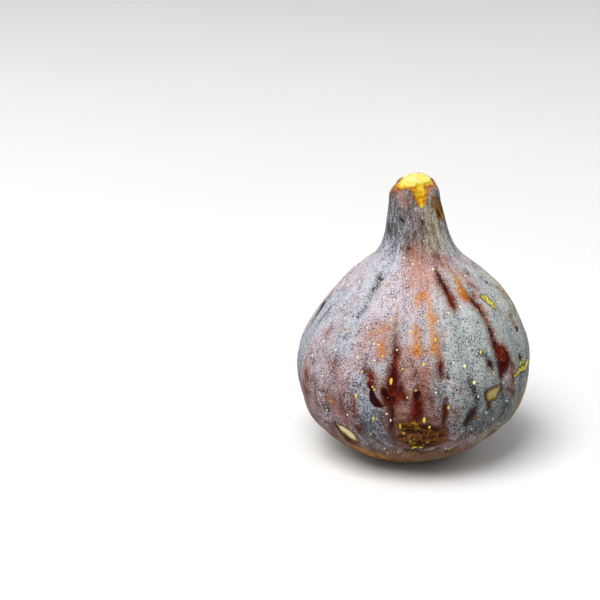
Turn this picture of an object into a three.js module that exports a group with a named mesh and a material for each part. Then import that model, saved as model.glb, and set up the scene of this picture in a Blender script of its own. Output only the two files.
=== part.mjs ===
// A fresh purple fig, picked and standing on its eye end, with its neck up and the stalk cut across.
// It grew as one piece, so it is one closed solid: a round outline turned about its own axis, on which
// the ribs, the torn notch under the cut, the neck's strands and the closed scales of the eye are raised
// or sunk by formulas. Millimetres, +Z up. The origin is on the surface that it stands on, under the
// middle of its width and depth. Azimuth 0 is the front, towards -Y, and +90 degrees is towards +X.
import * as THREE from "three";
import { mergeVertices } from "three/addons/utils/BufferGeometryUtils.js";

// Driving sizes.
const FOOT_RADIUS = 9; // outer edge of the flat ring that it stands on
const EYE_RADIUS = 5.4; // inner edge of that ring, where the eye's dimple begins
const EYE_DEPTH = 1.5;
const CUT_RADIUS = 2.9;
const CUT_CROWN = 0.3; // the cut's middle stands this far over its edge
const CUT_RISE = 0.45; // the cut's back edge is this much higher than its middle, its front edge lower
const CUT_RISE_LOW = 56; // the rise fades in above this height

// The skin from the foot to the cut: radius, height, and how far the axis sways to +X and to +Y there.
const SKIN_OUTLINE = [
  [FOOT_RADIUS, 0, -0.6, 0],
  [11.4, 0.6, -0.6, 0],
  [15.1, 2.4, -0.5, 0],
  [19.4, 5.6, -0.4, 0.1],
  [23.9, 10.6, -0.3, 0.1],
  [26.2, 17.6, 0, 0.2],
  [26.0, 24.5, 0.2, 0.2],
  [23.3, 31.2, 0.8, 0.3],
  [19.1, 37.4, 1.4, 0.3],
  [14.3, 42.0, 1.3, 0.4],
  [9.6, 46.0, 1.1, 0.4],
  [7.2, 50.4, 0.7, 0.5],
  [6.1, 55.3, 0.2, 0.6],
  [5.5, 58.8, 0, 0.7],
  [4.9, 60.9, 0.15, 0.7],
  [3.95, 62.2, 0.35, 0.7],
  [CUT_RADIUS, 63.1, 0.45, 0.7],
];

// Mesh density: straight facets round the fig, and rings along each stretch of its outline.
const FACETS = 96;
const RINGS_PER_SPAN = 2.3; // rings for each pair of outline points
const EYE_RINGS = 12;
const CUT_RINGS = 4;

// Grooves between the ribs: azimuth and half width in degrees, lowest and highest point, depth, and
// how many degrees the groove leans to +X for each millimetre that it rises.
const FRONT_GROOVES = [
  { at: -78, half: 7, low: 3, high: 46, depth: 0.5, lean: 0 },
  { at: -60, half: 7, low: 1, high: 44, depth: 0.45, lean: 0.1 },
  { at: -46, half: 7, low: 4, high: 54, depth: 0.75, lean: 0.05 },
  { at: -26, half: 5, low: 1, high: 34, depth: 0.35, lean: -0.2 },
  { at: -12, half: 5, low: 2, high: 46, depth: 0.5, lean: 0.05 },
  { at: 1, half: 4, low: 3, high: 47, depth: 0.35, lean: 0 },
  { at: 12, half: 5, low: 1, high: 42, depth: 0.5, lean: -0.15 },
  { at: 25, half: 6, low: 2, high: 53, depth: 0.6, lean: -0.15 },
  { at: 45, half: 6, low: 4, high: 48, depth: 0.7, lean: -0.25 },
  { at: 62, half: 7, low: 1, high: 45, depth: 0.45, lean: 0 },
  { at: 80, half: 7, low: 3, high: 50, depth: 0.55, lean: 0 },
];
const BACK_GROOVE_COUNT = 12; // evenly stepped round the back, each moved off its place by a fixed rule
const BACK_FROM = 97;
const BACK_TO = 265;
const GOLDEN_STEP = 0.618034;

// Broad lobes that leave the fig a little out of round: how many, how high, and where the first stands.
const LOBES = [
  { count: 2, height: 0.3, at: 15 },
  { count: 3, height: 0.35, at: 70 },
  { count: 5, height: 0.2, at: 20 },
];
const LOBE_LOW = 2; // the lobes fade in above the foot and fade out under the neck
const LOBE_FULL = 14;
const LOBE_FADE = 36;
const LOBE_HIGH = 50;

// Flutes that run up the neck. Their counts share no factor, so that no two come out alike.
const FLUTES = [
  { count: 7, height: 0.14, at: 20 },
  { count: 12, height: 0.1, at: 48 },
  { count: 19, height: 0.05, at: 5 },
];
const FLUTE_LOW = 42;
const FLUTE_FULL = 52;

// Hollows pressed or torn into the skin: azimuth and half width in degrees, mid height, half height, depth.
// A depth below 0 stands out instead.
const HOLLOWS = [
  { at: 7, half: 18, mid: 60, halfHeight: 2.6, depth: 0.5 }, // notch torn down the front of the cut
  { at: -75, half: 40, mid: 60, halfHeight: 2.4, depth: -0.4 }, // lip pushed out beside the cut
  { at: 67, half: 18, mid: 58.4, halfHeight: 1.9, depth: 0.45 }, // old scar on the other side
  { at: 4, half: 15, mid: 12.5, halfHeight: 4.5, depth: 0.35 }, // sunken russet patch low on the front
  { at: -39, half: 7, mid: 11, halfHeight: 2.5, depth: 0.3 }, // chip low on the left
];

// The eye's scales: whorls from the outer one in, with how many scales, how far out they reach, the
// turn of the first, and how much each whorl stands over the one outside it.
const WHORLS = [
  { scales: 8, reach: 4.7, at: 0 },
  { scales: 6, reach: 3.4, at: 26 },
  { scales: 5, reach: 2.1, at: 8 },
];
const WHORL_STEP = 0.36;
const EDGE_WIDTH = 0.45; // over this distance a scale's edge falls to the whorl outside it
const SCALLOP = 0.26; // share of the reach by which the edge draws in between two scales
const PORE_RADIUS = 0.9;
const PORE_DEPTH = 0.6;

const { degToRad, smoothstep, euclideanModulo } = THREE.MathUtils;

// 1 at the middle of a bump, falling smoothly to 0 one half width away.
const bump = (offset) => (Math.abs(offset) < 1 ? (1 - offset * offset) ** 2 : 0);

// The smaller turn between two azimuths, in degrees.
const turnBetween = (a, b) => euclideanModulo(a - b + 180, 360) - 180;

function backGrooves() {
  const pitch = (BACK_TO - BACK_FROM) / (BACK_GROOVE_COUNT - 1);
  return Array.from({ length: BACK_GROOVE_COUNT }, (_, k) => {
    const shift = (k * GOLDEN_STEP) % 1;
    return {
      at: BACK_FROM + k * pitch + 5 * (shift - 0.5),
      half: 5.5 + 1.5 * shift,
      low: 1 + 3 * shift,
      high: 53 - 9 * shift,
      depth: 0.7 - 0.35 * shift,
      lean: 0.2 * (shift - 0.5),
    };
  });
}

const GROOVES = [...FRONT_GROOVES, ...backGrooves()];
const GROOVE_MIDDLE = 25; // a groove's azimuth is stated at this height
const GROOVE_RUN_IN = 6; // a groove deepens over this height above its low end
const GROOVE_RUN_OUT = 9; // and runs out over this height below its high end

// The sum of waves round the axis, at an azimuth in degrees.
const waves = (list, azimuth) =>
  list.reduce((sum, w) => sum + w.height * Math.cos(degToRad(w.count * (azimuth - w.at))), 0);

// How far the skin stands out of the plain turned outline, at an azimuth in degrees and a height.
function skinRelief(azimuth, height) {
  let relief = 0;
  for (const g of GROOVES) {
    const middle = g.at + g.lean * (height - GROOVE_MIDDLE);
    const along =
      smoothstep(height, g.low, g.low + GROOVE_RUN_IN) *
      (1 - smoothstep(height, g.high - GROOVE_RUN_OUT, g.high));
    relief -= g.depth * along * bump(turnBetween(azimuth, middle) / g.half);
  }
  const onBody = smoothstep(height, LOBE_LOW, LOBE_FULL) * (1 - smoothstep(height, LOBE_FADE, LOBE_HIGH));
  const onNeck = smoothstep(height, FLUTE_LOW, FLUTE_FULL);
  relief += onBody * waves(LOBES, azimuth) + onNeck * waves(FLUTES, azimuth);
  for (const h of HOLLOWS) {
    relief -= h.depth * bump(turnBetween(azimuth, h.at) / h.half) * bump((height - h.mid) / h.halfHeight);
  }
  return relief;
}

// How far the eye's surface lies above the foot, at a distance from the axis.
function eyeHeight(azimuth, radius) {
  const dish = EYE_DEPTH * (1 - smoothstep(radius, WHORLS[0].reach - EDGE_WIDTH, EYE_RADIUS));
  let scales = 0;
  for (const w of WHORLS) {
    const round = Math.abs(Math.cos(degToRad((w.scales * (azimuth - w.at)) / 2)));
    const edge = w.reach * (1 - SCALLOP + SCALLOP * round);
    scales += WHORL_STEP * (1 - smoothstep(radius, edge - EDGE_WIDTH, edge));
  }
  return dish - scales + PORE_DEPTH * (1 - smoothstep(radius, 0, PORE_RADIUS));
}

// The rings of the mesh from the eye's middle up to the middle of the cut.
function rings() {
  const found = [];
  const [, , footX, footY] = SKIN_OUTLINE[0];
  for (let k = 0; k < EYE_RINGS; k++) {
    found.push({ kind: "eye", radius: (EYE_RADIUS * k) / EYE_RINGS, height: 0, swayX: footX, swayY: footY });
  }
  found.push({ kind: "foot", radius: EYE_RADIUS, height: 0, swayX: footX, swayY: footY });

  const skin = new THREE.CatmullRomCurve3(
    SKIN_OUTLINE.map(([radius, height, swayX]) => new THREE.Vector3(radius, height, swayX)),
    false,
    "catmullrom",
  );
  const depthSway = new THREE.CatmullRomCurve3(
    SKIN_OUTLINE.map(([radius, height, , swayY]) => new THREE.Vector3(radius, height, swayY)),
    false,
    "catmullrom",
  );
  const count = Math.round(RINGS_PER_SPAN * (SKIN_OUTLINE.length - 1));
  for (let k = 0; k <= count; k++) {
    const { x: radius, y: height, z: swayX } = skin.getPoint(k / count);
    const slope = skin.getTangent(k / count);
    const out = new THREE.Vector2(slope.y, -slope.x).normalize(); // square to the outline, away from the axis
    const swayY = depthSway.getPoint(k / count).z;
    found.push({ kind: k === 0 ? "foot" : "skin", radius, height: k === 0 ? 0 : height, swayX, swayY, out });
  }

  const [, edgeHeight, cutX, cutY] = SKIN_OUTLINE.at(-1);
  for (let k = 1; k <= CUT_RINGS; k++) {
    const share = k / CUT_RINGS;
    const height = edgeHeight + CUT_CROWN * Math.sin((share * Math.PI) / 2);
    found.push({ kind: "cut", radius: CUT_RADIUS * (1 - share), height, swayX: cutX, swayY: cutY });
  }
  return found;
}

function figGeometry() {
  const outline = rings();
  const geometry = new THREE.LatheGeometry(
    outline.map((ring) => new THREE.Vector2(ring.radius, ring.height)),
    FACETS,
  );
  const position = geometry.getAttribute("position");
  for (let side = 0; side <= FACETS; side++) {
    const azimuth = (360 * (side % FACETS)) / FACETS;
    const turn = degToRad(azimuth);
    outline.forEach((ring, k) => {
      let { radius, height } = ring;
      if (ring.kind === "eye") height = eyeHeight(azimuth, radius);
      if (ring.kind === "skin") {
        const relief = skinRelief(azimuth, ring.height);
        radius += relief * ring.out.x;
        height = Math.max(0, height + relief * ring.out.y);
      }
      const nearCut = smoothstep(height, CUT_RISE_LOW, SKIN_OUTLINE.at(-1)[1]);
      height -= (CUT_RISE * nearCut * radius * Math.cos(turn)) / CUT_RADIUS;
      // The lathe's own order: all the rings of one side, then the next side. Front is -Y.
      position.setXYZ(
        side * outline.length + k,
        ring.swayX + radius * Math.sin(turn),
        ring.swayY - radius * Math.cos(turn),
        height,
      );
    });
  }
  geometry.deleteAttribute("normal");
  geometry.deleteAttribute("uv");
  const closed = mergeVertices(geometry, 1e-3);
  closed.computeBoundingBox();
  const middle = closed.boundingBox.getCenter(new THREE.Vector3());
  closed.translate(-middle.x, -middle.y, 0);
  closed.computeVertexNormals();
  return closed;
}

const skin = new THREE.MeshStandardMaterial({ color: 0x8d7f86, roughness: 0.6, metalness: 0 });
const fig = new THREE.Mesh(figGeometry(), skin);
fig.name = "fig";

const part = new THREE.Group();
part.add(fig);

export default part;
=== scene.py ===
"""A fresh purple fig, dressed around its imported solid.

One fine skin stands for the fig's solid. It repeats the solid's outline, ribs, hollows and eye from the
same sizes, and adds the low relief and the colours of a ripe skin under its waxy bloom. Corky flecks, the
scales of the eye and the frayed rim of the cut stalk are small pieces of their own that sit on that skin.

Sizes are in millimetres and angles in degrees, and MM turns a size into the frame's metres. Azimuth 0 is
the front, towards -Y, and +90 is towards +X.
"""

import logging
import math
from collections.abc import Iterable, Mapping
from dataclasses import dataclass, field
from enum import Enum, IntEnum
from typing import Any

import bpy
import numpy as np
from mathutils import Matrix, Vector, noise


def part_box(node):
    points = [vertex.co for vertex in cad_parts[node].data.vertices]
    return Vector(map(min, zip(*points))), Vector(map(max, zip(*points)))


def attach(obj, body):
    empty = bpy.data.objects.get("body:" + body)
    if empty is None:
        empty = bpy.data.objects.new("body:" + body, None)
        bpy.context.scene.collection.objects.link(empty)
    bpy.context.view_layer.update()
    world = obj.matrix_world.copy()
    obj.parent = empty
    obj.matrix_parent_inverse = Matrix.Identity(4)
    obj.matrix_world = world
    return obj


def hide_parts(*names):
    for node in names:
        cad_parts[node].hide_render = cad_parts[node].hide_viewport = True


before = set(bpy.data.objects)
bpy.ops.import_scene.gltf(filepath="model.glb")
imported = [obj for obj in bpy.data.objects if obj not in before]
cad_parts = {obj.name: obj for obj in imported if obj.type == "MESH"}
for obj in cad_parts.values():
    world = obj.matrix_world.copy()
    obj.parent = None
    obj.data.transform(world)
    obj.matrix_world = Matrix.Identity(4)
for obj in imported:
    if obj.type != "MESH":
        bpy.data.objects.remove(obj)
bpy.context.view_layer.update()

MM = 0.001
NODE = "fig"
BODY = "root"

# The least and the most of a size, or where a smooth step starts and ends.
Range = tuple[float, float]

log = logging.getLogger("fig")


# ---------------------------------------------------------------------------------------------------------
# Shapes by formula
# ---------------------------------------------------------------------------------------------------------


def smoothstep(value: np.ndarray, low: float, high: float) -> np.ndarray:
    """Rises smoothly from 0 at low to 1 at high."""
    share = np.clip((value - low) / (high - low), 0.0, 1.0)
    return share * share * (3.0 - 2.0 * share)


def bump(offset: np.ndarray) -> np.ndarray:
    """1 at the middle, falling smoothly to 0 one half width away."""
    return np.where(np.abs(offset) < 1.0, (1.0 - offset * offset) ** 2, 0.0)


def turn_between(a: np.ndarray | float, b: np.ndarray | float) -> np.ndarray | float:
    """The smaller turn from one azimuth to another, in degrees."""
    return (a - b + 180.0) % 360.0 - 180.0


@dataclass(frozen=True)
class Ripple:
    """Smooth noise in space: how strong it is, and how many waves there are in a millimetre."""

    strength: float
    scale: float

    def at(self, points: np.ndarray) -> np.ndarray:
        """The noise, about -strength to strength.

        Args:
            points: places in millimetres, in an array whose last axis is x, y, z.

        Returns:
            An array of one number for each point.
        """
        flat = (points.reshape(-1, 3) * self.scale).tolist()
        return self.strength * np.array([noise.noise(p) for p in flat]).reshape(points.shape[:-1])


@dataclass(frozen=True)
class Groove:
    """A shallow valley between two ribs.

    at and half are an azimuth and a half width in degrees; low, high and depth are in millimetres; lean is
    how many degrees it moves to +X for each millimetre that it rises.
    """

    at: float
    half: float
    low: float
    high: float
    depth: float
    lean: float


@dataclass(frozen=True)
class Wave:
    """A wave round the axis: how many crests, how high they are, and the azimuth of the first."""

    count: int
    height: float
    at: float

    def round(self, azimuth: np.ndarray, drift: np.ndarray | float = 0.0) -> np.ndarray:
        """The wave's height at each azimuth, with its crests moved by a drift in radians."""
        return self.height * np.cos(np.radians(self.count * (azimuth - self.at)) + drift)


@dataclass(frozen=True)
class Hollow:
    """A dent: azimuth and half width in degrees, middle height, half height and depth in millimetres.

    A depth below 0 stands out instead.
    """

    at: float
    half: float
    mid: float
    half_height: float
    depth: float


@dataclass(frozen=True)
class FigForm:
    """The fig's form, by the same named sizes as its solid."""

    foot_radius: float = 9.0
    eye_radius: float = 5.4
    eye_depth: float = 1.5
    eye_brim: float = 0.8
    cut_radius: float = 2.9
    cut_crown: float = 0.3
    cut_rise: float = 0.45
    cut_rise_low: float = 56.0
    groove_middle: float = 25.0
    groove_run_in: float = 6.0
    groove_run_out: float = 9.0
    lobe_range: tuple[float, float, float, float] = (2.0, 14.0, 36.0, 50.0)
    flute_range: Range = (42.0, 52.0)
    lobes: tuple[Wave, ...] = (Wave(2, 0.3, 15), Wave(3, 0.35, 70), Wave(5, 0.2, 20))
    flutes: tuple[Wave, ...] = (Wave(7, 0.14, 20), Wave(12, 0.1, 48), Wave(19, 0.05, 5))
    hollows: tuple[Hollow, ...] = (
        Hollow(7, 18, 60, 2.6, 0.5),  # notch under the front of the cut
        Hollow(-75, 40, 60, 2.4, -0.4),  # lip pushed out beside the cut
        Hollow(67, 18, 58.4, 1.9, 0.45),  # old scar on the other side
        Hollow(4, 15, 12.5, 4.5, 0.35),  # sunken russet patch
        Hollow(-39, 7, 11, 2.5, 0.3),  # chip low on the left
    )
    # The skin from the foot to the cut: radius, height, and the axis's sway to +X and to +Y there.
    outline: tuple[tuple[float, float, float, float], ...] = (
        (9.0, 0.0, -0.6, 0.0),
        (11.4, 0.6, -0.6, 0.0),
        (15.1, 2.4, -0.5, 0.0),
        (19.4, 5.6, -0.4, 0.1),
        (23.9, 10.6, -0.3, 0.1),
        (26.2, 17.6, 0.0, 0.2),
        (26.0, 24.5, 0.2, 0.2),
        (23.3, 31.2, 0.8, 0.3),
        (19.1, 37.4, 1.4, 0.3),
        (14.3, 42.0, 1.3, 0.4),
        (9.6, 46.0, 1.1, 0.4),
        (7.2, 50.4, 0.7, 0.5),
        (6.1, 55.3, 0.2, 0.6),
        (5.5, 58.8, 0.0, 0.7),
        (4.9, 60.9, 0.15, 0.7),
        (3.95, 62.2, 0.35, 0.7),
        (2.9, 63.1, 0.45, 0.7),
    )
    front_grooves: tuple[Groove, ...] = (
        Groove(-78, 7, 3, 46, 0.5, 0),
        Groove(-60, 7, 1, 44, 0.45, 0.1),
        Groove(-46, 7, 4, 54, 0.75, 0.05),
        Groove(-26, 5, 1, 34, 0.35, -0.2),
        Groove(-12, 5, 2, 46, 0.5, 0.05),
        Groove(1, 4, 3, 47, 0.35, 0),
        Groove(12, 5, 1, 42, 0.5, -0.15),
        Groove(25, 6, 2, 53, 0.6, -0.15),
        Groove(45, 6, 4, 48, 0.7, -0.25),
        Groove(62, 7, 1, 45, 0.45, 0),
        Groove(80, 7, 3, 50, 0.55, 0),
    )
    back_groove_count: int = 12
    back_from: float = 97.0
    back_to: float = 265.0
    golden_step: float = 0.618034
    # Half width, low end, high end and depth of a groove on the back: each at no shift, and its change.
    back_sizes: tuple[tuple[float, float], ...] = ((5.5, 1.5), (1.0, 3.0), (53.0, -9.0), (0.7, -0.35))
    back_stray: float = 5.0
    back_lean: float = 0.2

    def grooves(self) -> list[Groove]:
        """The front's grooves, and those evenly stepped round the back and moved off by a fixed rule."""
        pitch = (self.back_to - self.back_from) / (self.back_groove_count - 1)
        found = list(self.front_grooves)
        for k in range(self.back_groove_count):
            shift = (k * self.golden_step) % 1.0
            at = self.back_from + k * pitch + self.back_stray * (shift - 0.5)
            half, low, high, depth = (start + change * shift for start, change in self.back_sizes)
            found.append(Groove(at, half, low, high, depth, self.back_lean * (shift - 0.5)))
        return found

    def along_outline(self, place: np.ndarray) -> tuple[np.ndarray, np.ndarray]:
        """The smooth curve through the outline's points.

        Args:
            place: how far along the outline, counted in points from 0.

        Returns:
            The radius, height and two sways there, and how fast each changes.
        """
        given = np.array(self.outline)
        ends = 2 * given[[0, -1]] - given[[1, -2]]
        ringed = np.vstack([ends[:1], given, ends[1:]])
        k = np.clip(np.floor(place).astype(int), 0, len(given) - 2)
        t = (place - k)[:, None]
        before, start, stop, after = (ringed[k + n] for n in range(4))
        leave, arrive = (stop - before) / 2, (after - start) / 2
        cube = 2 * start - 2 * stop + leave + arrive
        square = -3 * start + 3 * stop - 2 * leave - arrive
        return ((cube * t + square) * t + leave) * t + start, (3 * cube * t + 2 * square) * t + leave

    def groove_relief(self, azimuth: np.ndarray, height: np.ndarray) -> np.ndarray:
        """How far the grooves sink the skin, as a negative number of millimetres."""
        relief = np.zeros(np.broadcast(azimuth, height).shape)
        for g in self.grooves():
            middle = g.at + g.lean * (height - self.groove_middle)
            run_in = smoothstep(height, g.low, g.low + self.groove_run_in)
            run_out = 1 - smoothstep(height, g.high - self.groove_run_out, g.high)
            relief -= g.depth * run_in * run_out * bump(turn_between(azimuth, middle) / g.half)
        return relief

    def relief(self, azimuth: np.ndarray, height: np.ndarray) -> np.ndarray:
        """How far the skin stands out of the plain turned outline, in millimetres."""
        low, full, fade, high = self.lobe_range
        on_body = smoothstep(height, low, full) * (1 - smoothstep(height, fade, high))
        on_neck = smoothstep(height, *self.flute_range)
        relief = self.groove_relief(azimuth, height)
        for share, waves in ((on_body, self.lobes), (on_neck, self.flutes)):
            for wave in waves:
                relief = relief + share * wave.round(azimuth)
        for h in self.hollows:
            across = bump(turn_between(azimuth, h.at) / h.half)
            relief = relief - h.depth * across * bump((height - h.mid) / h.half_height)
        return relief


# ---------------------------------------------------------------------------------------------------------
# Marks on the skin
# ---------------------------------------------------------------------------------------------------------


class Tone(Enum):
    """What a mark on the skin is. The value names the attribute that carries it to the finish."""

    THIN = "thin"  # bloom rubbed thin
    COOL = "cool"  # bloom of a colder grey
    SALMON = "salmon"  # warm pink skin under the bloom
    OCHRE = "ochre"  # golden brown skin
    KHAKI = "khaki"  # dull greenish skin under thin bloom
    AMBER = "amber"  # orange skin, nearly bare
    MAROON = "maroon"  # dark red skin, bare in the middle
    SHADE = "shade"  # dusky skin that the bloom has left in grains
    INK = "ink"  # bare and nearly black
    RUSSET = "russet"  # corky and wrinkled
    GILT = "gilt"  # golden edge of a wrinkle
    CHIP = "chip"  # pale scrape with a brown edge
    LIME = "lime"  # yellow scratch or scab


# A point on a stroke: azimuth in degrees, then height and half width in millimetres.
StrokePoint = tuple[float, float, float]


@dataclass(frozen=True)
class Stroke:
    """A line drawn on the skin, which leaves a mark along it.

    A half width of 0 leaves a faint and broken mark, and one below 0 a fainter one.
    """

    tone: Tone
    path: tuple[StrokePoint, ...]


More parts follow.
